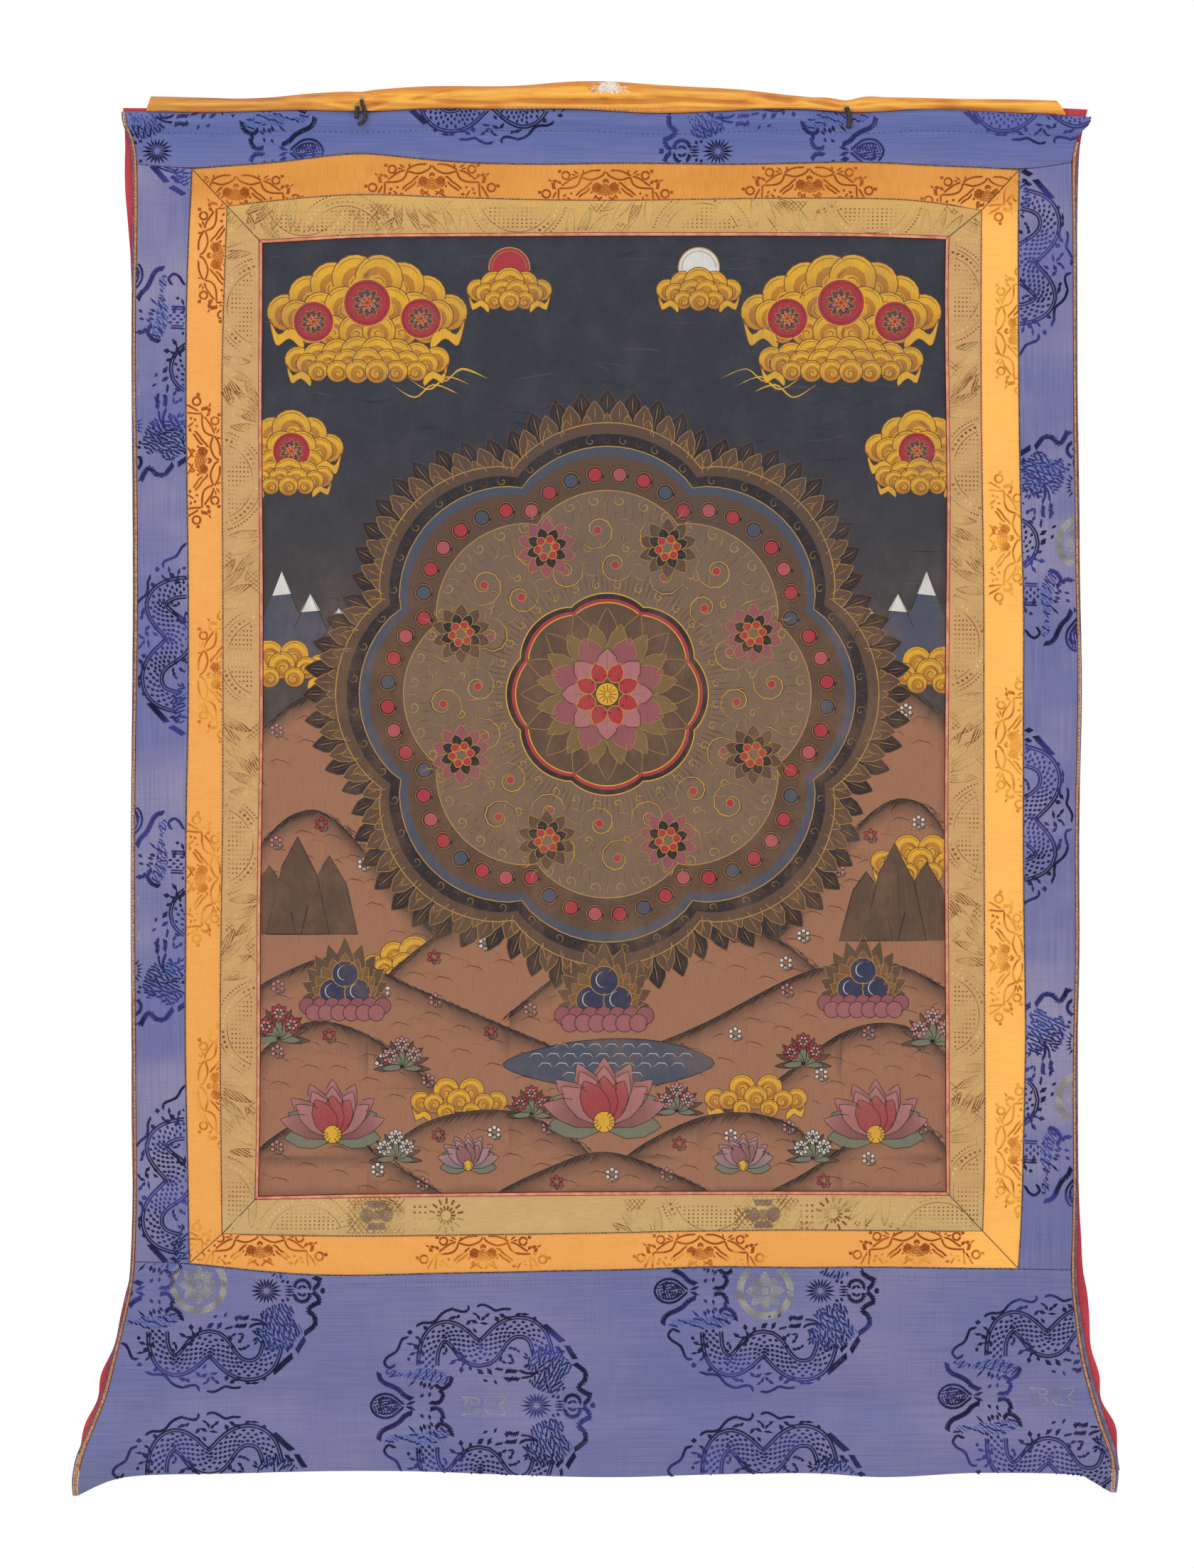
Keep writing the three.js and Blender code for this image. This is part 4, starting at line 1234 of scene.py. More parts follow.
silk_fold = Finish("folded_silk", Roughness=0.5, Sheen_Weight=0.2)
sheen_line = silk_fold.place.noise(7, 3, 7, detail=3).span(0.3, 0.7)
silk_fold.feed(Base_Color=sheen_line.mix(screen(196, 108, 80), screen(232, 148, 112)))
silk_fold.bump(silk_fold.place.noise(1.1, 2, 1.1), 0.2, 0.5)
edging = {side: dress(f"edging_{side}", PLAIN, "edging", silk_fold) for side in SIDES}
hem_thread = thread("hem_thread", 226, 176, 150)

# Khaki frame
# Four mitred strips of khaki silk brocade with fans, pearls and leaves in gold and brown floats.
# They are sewn to the edging inside and to the orange frame outside, with interlining behind.
khaki = Finish("khaki_brocade", Roughness=0.55, Sheen_Weight=0.05, Specular_IOR_Level=0.25)
khaki_high = khaki.z.span(-0.09, -0.05)
khaki_low = khaki.z.span(-0.68, -0.70)
khaki_base = khaki_high.mix(screen(208, 160, 103), screen(214, 170, 86))
khaki_base = khaki_low.mix(khaki_base, screen(210, 172, 112))
twill_a = khaki.place.noise(0.7, 30, 9)
twill_b = khaki.place.noise(9, 30, 0.7)
khaki_base = (twill_a.span(0.3, 0.7) * 0.22).mix(khaki_base, screen(226, 188, 134))
khaki_base = (twill_b.span(0.35, 0.75) * 0.25).mix(khaki_base, screen(164, 122, 76))
khaki_worn = khaki.place.noise(40, 60, 24, detail=3).span(0.35, 0.75)
khaki_base = (khaki_worn * 0.25).mix(khaki_base, screen(176, 134, 86))
khaki.feed(Base_Color=khaki_base)
khaki.bump(twill_a * 0.5 + twill_b * 0.5, 0.22, 0.7)
khaki_cloths = {side: dress(f"olive_{side}", PLAIN, "olive_brocade", khaki) for side in SIDES}

float_silk = Finish("float_silk", Roughness=0.5, Specular_IOR_Level=0.2)
float_shade = float_silk.place.noise(1.2, 2, 1.2) * 0.4
float_silk.feed(Base_Color=float_shade.mix(float_silk.attribute("tint"), (0, 0, 0)))


def walk(path, pitch):
    """Places at an even pitch along a path, each with its direction in radians."""
    spare = 0.0
    for (ax, az), (bx, bz) in zip(path, path[1:]):
        length = math.hypot(bx - ax, bz - az)
        gone = pitch - spare
        while gone <= length:
            share = gone / length
            yield ax + (bx - ax) * share, az + (bz - az) * share, math.atan2(bz - az, bx - ax)
            gone += pitch
        spare = length - (gone - pitch)


def roped(threads, path, wide, tone, pitch=1.3, lean=58, thick=0.8):
    """Short leaning floats side by side along a path."""
    for x, z, way in walk(path, pitch):
        lie = way + math.radians(lean)
        dx, dz = 0.5 * wide * math.cos(lie), 0.5 * wide * math.sin(lie)
        threads.lay([(x - dx, z - dz), (x + dx, z + dz)], thick, tone(x, z))


def lined(threads, path, tone, pitch=2.4, thick=0.7):
    """Floats end to end along a path."""
    spots = list(walk(path, pitch))
    for (ax, az, _), (bx, bz, _) in zip(spots, spots[1:]):
        threads.lay([(ax, az), (0.12 * ax + 0.88 * bx, 0.12 * az + 0.88 * bz)], thick, tone(ax, az))


def hatched(threads, outline, degrees, tone, pitch=1.1, thick=0.75, most=3.6, sway=0.0):
    """Rows of short floats inside an outline, each leaning by up to the sway."""
    c, s = math.cos(math.radians(degrees)), math.sin(math.radians(degrees))
    spun = [(x * c + z * s, z * c - x * s) for x, z in outline]
    height = min(b for _, b in spun) + 0.5 * pitch
    row = 0
    while height < max(b for _, b in spun):
        cuts = sorted(
            p[0] + (height - p[1]) * (q[0] - p[0]) / (q[1] - p[1])
            for p, q in zip(spun, [*spun[1:], spun[0]])
            if (p[1] > height) != (q[1] > height)
        )
        for low, high in zip(cuts[::2], cuts[1::2]):
            a = low
            step = most * (0.55 if row % 2 else 1)
            while high - a > 0.5:
                b = min(a + step, high)
                half, middle = 0.5 * (b - 0.3 - a), 0.5 * (a + b - 0.3)
                x, z = middle * c - height * s, middle * s + height * c
                lean = math.radians(degrees + dye_dice.uniform(-sway, sway))
                dx, dz = half * math.cos(lean), half * math.sin(lean)
                threads.lay([(x - dx, z - dz), (x + dx, z + dz)], thick, tone(x, z))
                a, step = b, most
        height += pitch
        row += 1


def dotted(threads, places, tone, size=1.5):
    """Round floats, each a short thick one."""
    for x, z in places:
        threads.lay([(x - 0.4 * size, z), (x + 0.4 * size, z)], size, tone(x, z), rise=0.25)


dye_dice = random.Random(21)


def dye_and_sheen(dark, light, across=34.0, seed=1, bias=0.5):
    """A tone for floats that drifts between two tones over the cloth, a painted shade and a painted sheen, and varies a
    little.
    """

    def tone(x, z):
        drift = float(uneven(np.array([x]), np.array([z]), across, 0.7 * across, seed)[0])
        share = min(max(bias + 1.5 * drift + dye_dice.uniform(-0.12, 0.12), 0), 1)
        return blended(dark, light, share)

    return tone


def weave(panel, name, slot, draw, finish=float_silk):
    """The floats of a brocade panel: draw adds them, and what misses the panel is cut off."""
    threads = Threads()
    draw(threads)
    floats = threads.make(name, Face([panel]))
    finish.on(floats)
    return hold(floats, slot)


# Float tones of the khaki brocade: the brown stands for painted shade on the floats and the gold for a painted
# highlight; the mauve is the bows' own colour.
KHAKI_BROWN = screen(138, 92, 48)
KHAKI_GOLD = screen(238, 206, 128)
KHAKI_MAUVE = screen(152, 124, 112)


def fan(threads, x, z, degrees, dark, gold):
    """A fan about 105 mm wide: a field of dots between arcs of pearls, with veined leaves beside it."""
    put = lambda places: turned(places, x, z, degrees)
    for row in range(6):
        reach = 20 - 1.4 * row
        field = [(a, 8 - 2.4 * row) for a in np.arange(-reach + 1.45 * (row % 2), reach, 2.9)]
        dotted(threads, put(field), dark, 1.15)
    for radius, size, gap, tone in ((27, 2.0, 3.2, gold), (31.8, 1.2, 2.2, dark)):
        dotted(threads, put(arc(0, 17, radius, 196, 344, gap)), tone, size)
    for radius, tone in ((24.2, dark), (29.4, gold)):
        lined(threads, put(arc(0, 17, radius, 198, 342)), tone, 2.2, 0.65)
    for side in (-1, 1):
        for i, (root, foot, lean, wide, tall) in enumerate(
            ((33, -13, 4, 5.4, 21), (38, -13, 22, 5.6, 23), (43, -12.6, 40, 5.4, 22), (48, -11.6, 58, 5, 18))
        ):
            leaf = turned(petal(tall, wide), side * root, foot, -side * lean)
            hatched(threads, put(leaf), degrees + side * (62 - 14 * i), gold, 1.5, 0.85, 4.6)
            lined(threads, put([*leaf, leaf[0]]), dark, 1.8, 0.5)
        for i in range(7):
            ray = put(turned([(0, 2.2), (0, 6.6)], side * 26, 7.5, 90 - 30 * i))
            threads.lay(ray, 1.2, (dark, gold)[i % 2](*ray[0]), thin_ends=True)
        wedge = [(side * a, b) for a, b in ((40, 13), (56, 13), (53, 4), (44, 8))]
        for way in (50, -50):
            hatched(threads, put(wedge), degrees + way, dark, 2.3, 0.5, 6)


def netted(threads, x, z, reach, tone, pitch=3.1):
    """A net of crossing floats over a patch of the strip."""
    patch = [(x - reach, z - 12), (x + reach, z - 12), (x + reach, z + 12), (x - reach, z + 12)]
    for way in (52, -52):
        hatched(threads, patch, way, tone, pitch, 0.6, 9.0)
    dots = [
        (x - reach + pitch * (i + 0.5 * (k % 2)), z - 11 + 2 * k)
        for k in range(12)
        for i in range(int(2 * reach / pitch))
    ]
    dotted(threads, dots, tone, 1.0)


def bow(threads, x, z, tone, knot):
    """A grey bow on a net, with a flower of dots beside it."""
    netted(threads, x, z, 18, tone)
    for side in (-1, 1):
        loop = disc(x + side * 6.4, z, 4.4, 14)
        hatched(threads, loop, 0, knot, 0.85, 1.0, 6)
        roped(threads, [*loop, loop[0]], 1.3, tone, 1.0, 40, 0.8)
        bar = [(x - 5, z + side * 5), (x + 5, z + side * 5), (x + 6.4, z + side * 9), (x - 6.4, z + side * 9)]
        hatched(threads, bar, 0, knot, 0.85, 1.0, 6)
    hatched(threads, disc(x, z, 3.4, 10), 90, knot, 0.85, 1.0)
    for i in range(14):
        for near, far in ((3.2, 6), (7.4, 11)):
            a = TAU * i / 14 + (0.2 if near > 5 else 0)
            ray = [(x + 44 + r * math.cos(a), z + r * math.sin(a)) for r in (near, far)]
            threads.lay(ray, 1.5, tone(*ray[0]))
    dotted(threads, [(x + 24 + 3.4 * (i % 3), z - 9 + 3.6 * (i // 3)) for i in range(15)], tone, 1.6)


def khaki_pattern(side):
    """Fans along one strip, turned with it, as the strip was cut."""
    low, high = (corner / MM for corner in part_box(f"olive_{side}"))
    # The floats drift between painted shade in brown and a painted highlight in gold, with more gold on the top and
    # bottom strips.
    tone = dye_and_sheen(KHAKI_BROWN, KHAKI_GOLD, 30, 4, 0.25)
    gold = dye_and_sheen(KHAKI_BROWN, KHAKI_GOLD, 30, 4, {"top": 0.8, "bottom": 0.75, "left": 0.6, "right": 0.6}[side])
    knot = dye_and_sheen(KHAKI_MAUVE, KHAKI_MAUVE, 30, 4)

    def draw(threads):
        middle = (low + high) / 2
        if side in ("top", "bottom"):
            places = (-190, -164, -55, 62, 170) if side == "top" else (-189, 68, 212)
            for i, x in enumerate(places):
                up = (i + (side == "bottom")) % 2
                shift = float(np.interp(x, (-220, -40, 220), (-3, 0, -1)))
                fan(threads, x, middle.z + shift + (2 if up else -2), 180 if up else 0, tone, gold)
            if side == "bottom":
                bow(threads, -144, middle.z, tone, knot)
                bow(threads, 101, middle.z + 1, tone, knot)
        else:
            for i, z in enumerate((-125, -235, -347, -466, -582, -694)):
                up = (i + (side == "right")) % 2
                place = (middle.x + (1 if up else -1), z + (9 if side == "right" else 0))
                fan(threads, *place, 90 if up else -90, tone, gold)

    return draw


khaki_floats = {
    side: weave(khaki_cloths[side], f"khaki_floats_{side}", "olive_brocade", khaki_pattern(side))
    for side in SIDES
}
KHAKI_CUTS = {
    "top": (0.477, 0.029),
    "bottom": (0.483, 0.028),
    "left": (0.0255, 0.65),
    "right": (0.0255, 0.647),
}

# Orange frame
# Four mitred strips of orange silk brocade with garlands and lotus sprays in satin floats.
# It is whip-stitched to the khaki frame inside and to the blue mount outside.
orange = Finish("orange_brocade", Roughness=0.5, Sheen_Weight=0.06, Specular_IOR_Level=0.25)
weft_a = orange.place.noise(0.7, 30, 11)
weft_b = orange.place.noise(12, 30, 0.8)
# Painted light on the ground: the top strip is darker, a painted shade, and the right strip brighter, a painted
# highlight.
orange_top_shade = orange.z.span(-0.075, -0.045)
orange_base = orange.x.span(0.2, 0.235).mix(screen(242, 164, 80), screen(268, 194, 92))
orange_base = orange_top_shade.mix(orange_base, screen(212, 136, 48))
orange_pale = orange.place.noise(60, 90, 34, detail=3).span(0.35, 0.7)
orange_base = (orange_pale * 0.3).mix(orange_base, screen(246, 174, 88))
orange_base = (weft_b.span(0.35, 0.75) * 0.2).mix(orange_base, screen(206, 126, 48))
orange_base = (weft_a.span(0.3, 0.7) * 0.18).mix(orange_base, screen(255, 194, 106))
orange.feed(Base_Color=orange_base)
orange.bump(weft_a * 0.5 + weft_b * 0.5, 0.2, 0.6)
orange_cloths = {side: dress(f"orange_{side}", PLAIN, "orange_brocade", orange) for side in SIDES}

# Float tones of the orange brocade: the rust stands for painted shade where the floats face away from the lamps, the
# flame and amber for a painted highlight.
RUST = screen(170, 84, 20)
AMBER = screen(255, 184, 66)
FLAME = screen(214, 116, 30)


# One side of a spray, in millimetres from the middle of its lotus, with the garland above it
LOOPS = [
    [(0.4, 11.4), (1.6, 9), (5, 7), (9.5, 5.9), (15.4, 7.4)],
    [(3, 11.8), (8, 11.7), (12, 10.6), (15.4, 8.6)],
    [(15.8, 7.6), (16.6, 4.6), (18.4, 2.2), (22.4, 0.7), (29.4, 0.4)],
    [(17, 8.2), (21, 6.8), (24.6, 4.4), (27.6, 2.2)],
    [(30, 0.4), (29.8, -3), (30.4, -8.6)],
    [(31.2, -1.6), (33.2, -5), (35.4, -9)],
    [(24.4, -4.8), (23, -6.4), (21.6, -8.6)],
    [(8.2, 4.4), (10.4, 3.2), (13, 0.6), (15.8, -1.2), (18.6, -3.8)],
    [(9.8, 1), (12, -1.6), (14.6, -3.2), (17, -5)],
    [(0.6, -9.4), (4, -6.4), (8.4, -8.6)],
    [(2, -4.8), (4, -6.2), (6, -4.8)],
]
DROPS = [
    # from x, z to x, z and width
    (30.4, 4.6, 33.8, 5.4, 2.6), (28, 3, 30.4, 5.6, 2.4), (32, 1.6, 34.4, 4.2, 2.6), (31.4, 0, 34.2, 1.8, 2.4),
    (34, 4.6, 36.6, 6.2, 1.3), (21, -3, 22.8, -2.6, 2.2), (25, -3.2, 27, -4.8, 2.2), (25.6, -6.2, 28, -7, 2.2),
    (18, -7, 21, -7.4, 2.2), (17, 9.4, 20.8, 11.8, 1.5), (14.6, 9.4, 14, 12.6, 1.5), (18.6, 8.8, 22, 9.4, 1.4),
    (5.2, -3.6, 7.6, -5.8, 2.0), (8, -1, 9.6, -3, 1.8), (7.6, -5.2, 6.4, -7, 1.4), (0, 6.8, 1.8, 3.8, 2.2),
]
RINGS = [(25.2, 8.6, 2.4), (37.6, -3, 2.5)]
SPOTS = [(29.2, 11.2), (41.8, -2)]
LOTUS = [(0, 4), (2.4, 2.2), (4.4, 3.6), (7.4, 2.8), (8.8, 0.4), (7.4, -2), (4.4, -3.6), (0, -4.4)]


def spray(threads, x, z, degrees, tone):
    """A lotus under a garland of pointed loops, with ringed dots, buds and slim leaves."""
    for side in (-1, 1):
        put = lambda places: turned([(side * a, b) for a, b in places], x, z, degrees)
        for loop in LOOPS:
            roped(threads, put(flow(loop, step=1.2)), 1.75, tone, 1.0, 30, 1.0)
        for x1, z1, x2, z2, wide in DROPS:
            drop = put([(x1, z1), (0.5 * (x1 + x2), 0.5 * (z1 + z2)), (x2, z2)])
            threads.lay(drop, 1.2 * wide, tone(*drop[1]), rise=0.3, thin_ends=True)
        for a, b, size in RINGS:
            ring = disc(a, b, size, 18)
            roped(threads, put([*ring, ring[0]]), 1.6, tone, 0.9, 40, 0.9)
        dotted(threads, put(SPOTS), tone, 2.5)
        half = put(LOTUS)
        hatched(threads, half, degrees + side * 48, tone, 1.15, 0.95, 3.0)
        lobe = put(disc(5.6, 1.4, 3.0, 14))
        hatched(threads, lobe, degrees - side * 40, tone, 0.95, 1.0, 2.6)


def orange_pattern(side):
    """Sprays along one strip, turned with it, as the strip was cut."""
    low, high = (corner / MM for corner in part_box(f"orange_{side}"))
    rust_shade = dye_and_sheen(RUST, FLAME, 30, 9, 0.1)
    flame = dye_and_sheen(FLAME, AMBER, 26, 5, 0.45)
    amber = dye_and_sheen(FLAME, AMBER, 26, 5, 0.7)
    # On the bottom strip the floats above a wavy line take the darker rust, a painted shade, and those below it the
    # flame.
    shaded_above = lambda x, z: (rust_shade if z > -724.5 + 2 * math.sin(0.4 * x) else flame)(x, z)

    def draw(threads):
        middle = (low + high) / 2
        if side == "top":
            for x, z in ((-233, -53), (-109, -46), (1, -50), (130, -48), (243, -54)):
                spray(threads, x, z, 0, rust_shade)
        elif side == "bottom":
            for x, z in ((-218, -723), (-76.5, -725), (61, -724), (198, -722)):
                spray(threads, x, z, 0, shaded_above)
        elif side == "left":
            # The upper two sprays of the left strip are in the darker rust, a painted shade.
            for i, z in enumerate((-92, -222, -358, -487, -618, -745)):
                aside, way = (-3, -90) if i % 2 else (7, 90)
                spray(threads, middle.x + aside, z, way, (rust_shade, flame)[i > 1])
        else:
            # The right strip's sprays are in the brighter amber, a painted highlight.
            for i, z in enumerate((-30, -140, -271, -402, -537, -659)):
                spray(threads, middle.x + (7 if i % 2 else 0), z, 90 if i % 2 else -90, amber)

    return draw


orange_floats = {
    side: weave(orange_cloths[side], f"orange_floats_{side}", "orange_brocade", orange_pattern(side))
    for side in SIDES
}
ORANGE_CUTS = {
    "top": (0.523, 0.037),
    "bottom": (0.528, 0.032),
    "left": (0.0265, 0.693),
    "right": (0.0265, 0.698),
}

frame_cloths = [*edging.values(), *khaki_cloths.values(), *orange_cloths.values()]
frame_face = Face([canvas, *frame_cloths])
orange_thread = thread("orange_thread", 236, 150, 74)
brown_thread = thread("brown_thread", 84, 54, 42)
dark_thread = thread("dark_thread", 52, 40, 44)

frame_stitches = []
for side in SIDES:
    inner = {"top": "bottom", "bottom": "top", "left": "right", "right": "left"}[side]
    rolled = seams(khaki_cloths[side])[inner]
    between = seams(orange_cloths[side])[inner]
    frame_stitches += [
        sewn(f"edging_stitches_{side}", [rolled], frame_face, hem_thread, 3.1, 0.9, 0.3, lean=60),
        sewn(f"seam_cord_{side}", [between], frame_face, brown_thread, 0.9, 1.3, 0.55, uneven_lean=14),
        sewn(f"whip_stitches_{side}", [between], frame_face, orange_thread, 2.1, 1.7, 0.5, lean=-58, lift=0.3),
    ]
mitres = []
for cloths in (khaki_cloths, orange_cloths):
    for side in ("left", "right"):
        edges = seams(cloths[side])
        mitres += [edges["top"], edges["bottom"]]
frame_stitches.append(sewn("mitre_stitches", mitres, frame_face, brown_thread, 1.5, 1.25, 0.5, uneven_lean=18))
for stitches in frame_stitches:
    hold(stitches, "orange_brocade")

for side in SIDES:
    hang(khaki_cloths[side], KHAKI_CUTS[side])
    hang(orange_cloths[side], ORANGE_CUTS[side])

# Blue mount
# Slate blue silk damask with dragon roundels in navy floats: heading, two sides and a flared skirt.
# The heading is turned over into a casing, and the skirt has a turned-up hem; both are hand sewn.
def damask(name, turned_cloth):
    """The blue ground; on a side panel the cloth is turned, so its weft runs upright."""
    finish = Finish(name, Roughness=0.5, Sheen_Weight=0.12, Specular_IOR_Level=0.35)
    if turned_cloth:
        weft, warp = (0.8, 30, 46), (30, 30, 0.9)
    else:
        weft, warp = (46, 30, 0.8), (0.9, 30, 30)
    slubs = finish.place.noise(*weft, detail=3)
    ends = finish.place.noise(*warp, detail=2)
    drift = finish.place.noise(120, 200, 80, detail=3).span(0.34, 0.68)
    cool = finish.place.noise(70, 200, 52, detail=2).span(0.45, 0.75)
    base = drift.mix(screen(108, 109, 160), screen(126, 122, 164))
    base = (cool * 0.45).mix(base, screen(92, 108, 158))
    if turned_cloth:
        base = (drift * 0.7).mix(base, screen(156, 147, 172))
    grey_tip = finish.z.span(-0.84, -0.88) * (finish.x * finish.x).span(0.05, 0.1)
    base = (grey_tip * 0.55).mix(base, screen(100, 106, 128))
    head = finish.z.span(-0.045, -0.02)
    base = (head * 0.8).mix(base, screen(80, 97, 163))
    base = (slubs.span(0.42, 0.72) * 0.3).mix(base, screen(82, 84, 134))
    base = (slubs.span(0.55, 0.3) * 0.18).mix(base, screen(142, 140, 182))
    base = (ends.span(0.4, 0.75) * 0.2).mix(base, screen(86, 88, 138))
    finish.feed(Base_Color=base, Roughness=slubs.span(0.3, 0.7, 0.4, 0.55))
    finish.bump(slubs * 0.6 + ends * 0.4, 0.22, 0.8)
    return finish


blue_level = damask("blue_damask", False)
blue_upright = damask("blue_damask_turned", True)
heading = dress("heading", PLAIN, "blue_brocade", blue_level)
skirt = dress("skirt", PLAIN, "blue_brocade", blue_level)
side_panels = {side: dress(f"side_{side}", PLAIN, "blue_brocade", blue_upright) for side in ("left", "right")}

# Float tones of the blue damask: the roundels have dark and light floats, and the drift of each between these tones
# over the cloth is painted sheen and painted shade.
NAVY = screen(18, 20, 66)
VIOLET = screen(64, 66, 150)
SKY = screen(84, 118, 200)
DULL_SILVER = screen(186, 182, 170)


# One half of a roundel, in millimetres from its middle: its other half mirrors it in the axis.
# The scaled body in two humps, then ropes of leaning floats with their width, then single blades.
BODY = [(-38, 23), (-37.2, 35), (-33.6, 43.4), (-28, 47.2), (-22, 46), (-16.5, 41.5), (-11.5, 36.2), (-6, 33.6)]
BODY += [(-1, 34.6), (3, 39), (7.5, 44.4), (13, 48.6), (19.5, 50.2), (26, 49), (31, 45), (34, 38), (35.4, 31)]
ROPES = [
    ([(-50, 43.5), (-54, 42.5), (-56, 38), (-58, 34.5), (-63.5, 31), (-65.3, 27.5), (-62.5, 24.3), (-58.6, 26)], 2.2),
    ([(-45.5, 50.8), (-41, 52.8), (-37, 52.8), (-33, 54), (-30, 57.6), (-26.5, 60.2), (-22, 61.6)], 2.2),
    ([(-22, 61.4), (-18.5, 60.4), (-15, 59.8), (-12.4, 61), (-11.8, 64)], 2.0),
    ([(-7, 63.3), (-3, 64.2), (1, 62.8), (5, 60.6), (10, 61.6), (15, 61.2)], 2.0),
    ([(35, 52), (39, 48.6), (43.5, 44.4), (48, 40.6)], 3.8),
    ([(43.5, 38.6), (45.6, 35.4), (48, 33.8)], 2.6),
    ([(50, 39), (52.5, 34.5), (55.5, 30)], 3.4),
    ([(54.5, 27.5), (58.5, 24.6), (62, 21.2), (61.4, 16), (57.5, 12.4), (60, 9.4), (65, 7)], 3.2),
    ([(-68.8, 22), (-68.4, 18), (-65.6, 14.8), (-60.6, 12.6), (-56, 10), (-52.6, 6.4), (-47.6, 4.2)], 3.2),
    ([(-22.4, 19.4), (-23.6, 14.6), (-27, 11.6), (-30, 11), (-33, 13.6)], 2.8),
    ([(4.6, 24), (9.6, 23)], 1.8),
    ([(10.6, 21.8), (14.6, 22.4), (19, 21.6)], 2.6),
    ([(20, 23), (24.4, 21), (30.6, 21)], 2.2),
    ([(11, 19), (13, 16.4), (16, 17.6), (19.4, 16.8)], 2.6),
    ([(21, 18), (27, 18.8), (32, 22)], 1.6),
    ([(-53, 0.6), (-56.4, 3.6), (-60.4, 6.6), (-65, 7.6), (-69.4, 6.6), (-72.6, 3.8), (-74, 0.4)], 1.9),
    ([(-56, 0.8), (-59, 3.2), (-62, 4.8), (-65.6, 5.2), (-69, 4.4)], 1.2),
    ([(-37, 2.6), (-34, 1.6), (-31, 2), (-29, 4.2), (-28.2, 7.4), (-30, 9.6)], 2.8),
    ([(60, 0.6), (62.6, 2.4), (64.6, 5.4), (64, 8.4)], 3.0),
    ([(49, 1.4), (49.4, 4.6), (52.6, 6.8), (56.4, 6.2), (58.6, 3.4), (58, 0.8)], 2.4),
]
BLADES = [
    # from x, z to x, z and width
    (-25, 55.2, -19, 56.8, 2.2), (-19.6, 55.6, -17.6, 58, 2.0), (-13.6, 51.4, -10.4, 54.6, 2.2),
    (-10.6, 54.4, -6.2, 52.6, 2.2), (-9.6, 59.4, -6, 57.4, 1.5), (-7, 58.6, -4.8, 54.4, 1.8),
    (-4, 54.2, -1.6, 57, 2.0), (-2, 56.2, 1.4, 59, 2.0), (-5, 52.8, 0.6, 52, 1.6), (-12.8, 49.4, -10.4, 46.4, 1.8),
    (-6.8, 46.4, -9.2, 49.6, 1.8), (5, 57, 6.6, 53.4, 2.8), (7.5, 58.6, 11.4, 56, 2.4), (11, 57, 15.2, 54.6, 2.2),
    (17, 57, 21.4, 58.9, 2.3), (20.4, 58.6, 26.6, 58, 1.7), (28.2, 55.6, 31.2, 55.2, 2.6),
    (-51, 47.2, -47.4, 46.8, 2.9), (-40.6, 51, -38, 48.2, 2.6), (-46, 44.2, -42.6, 42.2, 1.7),
    (-43.6, 43, -41.2, 38.2, 2.4), (-51.4, 39.6, -46.4, 39.2, 1.6), (-47.2, 39.4, -43.4, 35.8, 2.8),
    (-50.4, 28.6, -49.4, 31.2, 2.2), (-49.8, 32.4, -45.4, 34, 1.9), (-46, 33.8, -40.8, 34.2, 1.7),
    (-41.8, 35.8, -40.4, 31.8, 2.0), (-44.2, 29.4, -41.8, 26.8, 2.4), (-28.8, 36.6, -26.8, 38.8, 1.5),
    (-26, 37.8, -26.4, 33.2, 1.7), (-28.6, 34, -26.6, 32.6, 1.8), (-22.6, 37.4, -19.2, 33.6, 2.1),
    (-19.8, 33.8, -15.6, 33.2, 2.2), (-16.6, 33.2, -14.6, 29.2, 2.6), (-24.2, 26.6, -19.6, 29.6, 2.3),
    (-20.6, 29.4, -14.4, 29.8, 1.9), (-17, 21, -16.3, 25.2, 2.8), (-16.5, 24.4, -14, 29.8, 1.6),
    (-10.2, 22.6, -11.5, 25.6, 2.2), (-11.3, 25, -14, 29.6, 1.5), (9, 34.4, 11, 36.2, 2.2), (13, 36.4, 16.2, 37.4, 1.8),
    (15.4, 36.6, 19, 36, 2.0), (18.4, 36, 20.6, 34, 1.7), (7.2, 28.2, 9.2, 31.6, 2.2), (8.6, 29, 12.2, 27, 1.8),
    (13, 33, 15.8, 30.8, 2.2), (14.9, 31.2, 16.9, 27.4, 1.8), (12.4, 27.6, 16.8, 27.2, 1.4),
    (22.2, 31.6, 26.2, 29.8, 1.7), (23.2, 34.2, 25.6, 31.4, 1.5), (22.6, 25.4, 27.6, 26.2, 1.9),
    (-6.6, 23.6, -2.4, 20.4, 2.8), (-0.2, 24.2, 2.8, 19.8, 2.6), (-2.8, 17, 0.2, 15.6, 1.7), (4.2, 16.8, 6, 13.6, 1.6),
    (-43, 12.4, -41.4, 16.2, 2.1), (-40.8, 11.2, -39.4, 14.8, 2.1), (-37.6, 11.4, -36.2, 15.2, 1.7),
    (-50.4, 12.2, -45.4, 17.2, 1.3), (-36.8, 10.2, -34.4, 13, 1.7), (-42.8, 5.2, -40.8, 7.8, 1.9),
    (-37.2, 5.4, -36.4, 8.8, 1.7), (-51.8, 0.5, -45.8, 2.8, 2.0), (-69.6, 2.2, -66.4, 2.2, 2.8),
    (-64, 3.2, -60.6, 1.0, 1.4), (-66.6, 0.8, -62, 0.9, 1.2), (-61.6, 3.4, -58, 1.0, 1.4), (42.4, 0.8, 49.2, 0.8, 1.2),
    (42.8, 2.8, 48.6, 2.8, 1.2), (40.4, 5.4, 42.6, 7, 1.9), (43.8, 4.2, 45.2, 6.8, 1.9), (65, 0.5, 68.4, 0.8, 2.4),
    (50.6, 1.2, 54, 3.4, 1.8), (53.4, 3.6, 56.6, 1.6, 1.8),
]
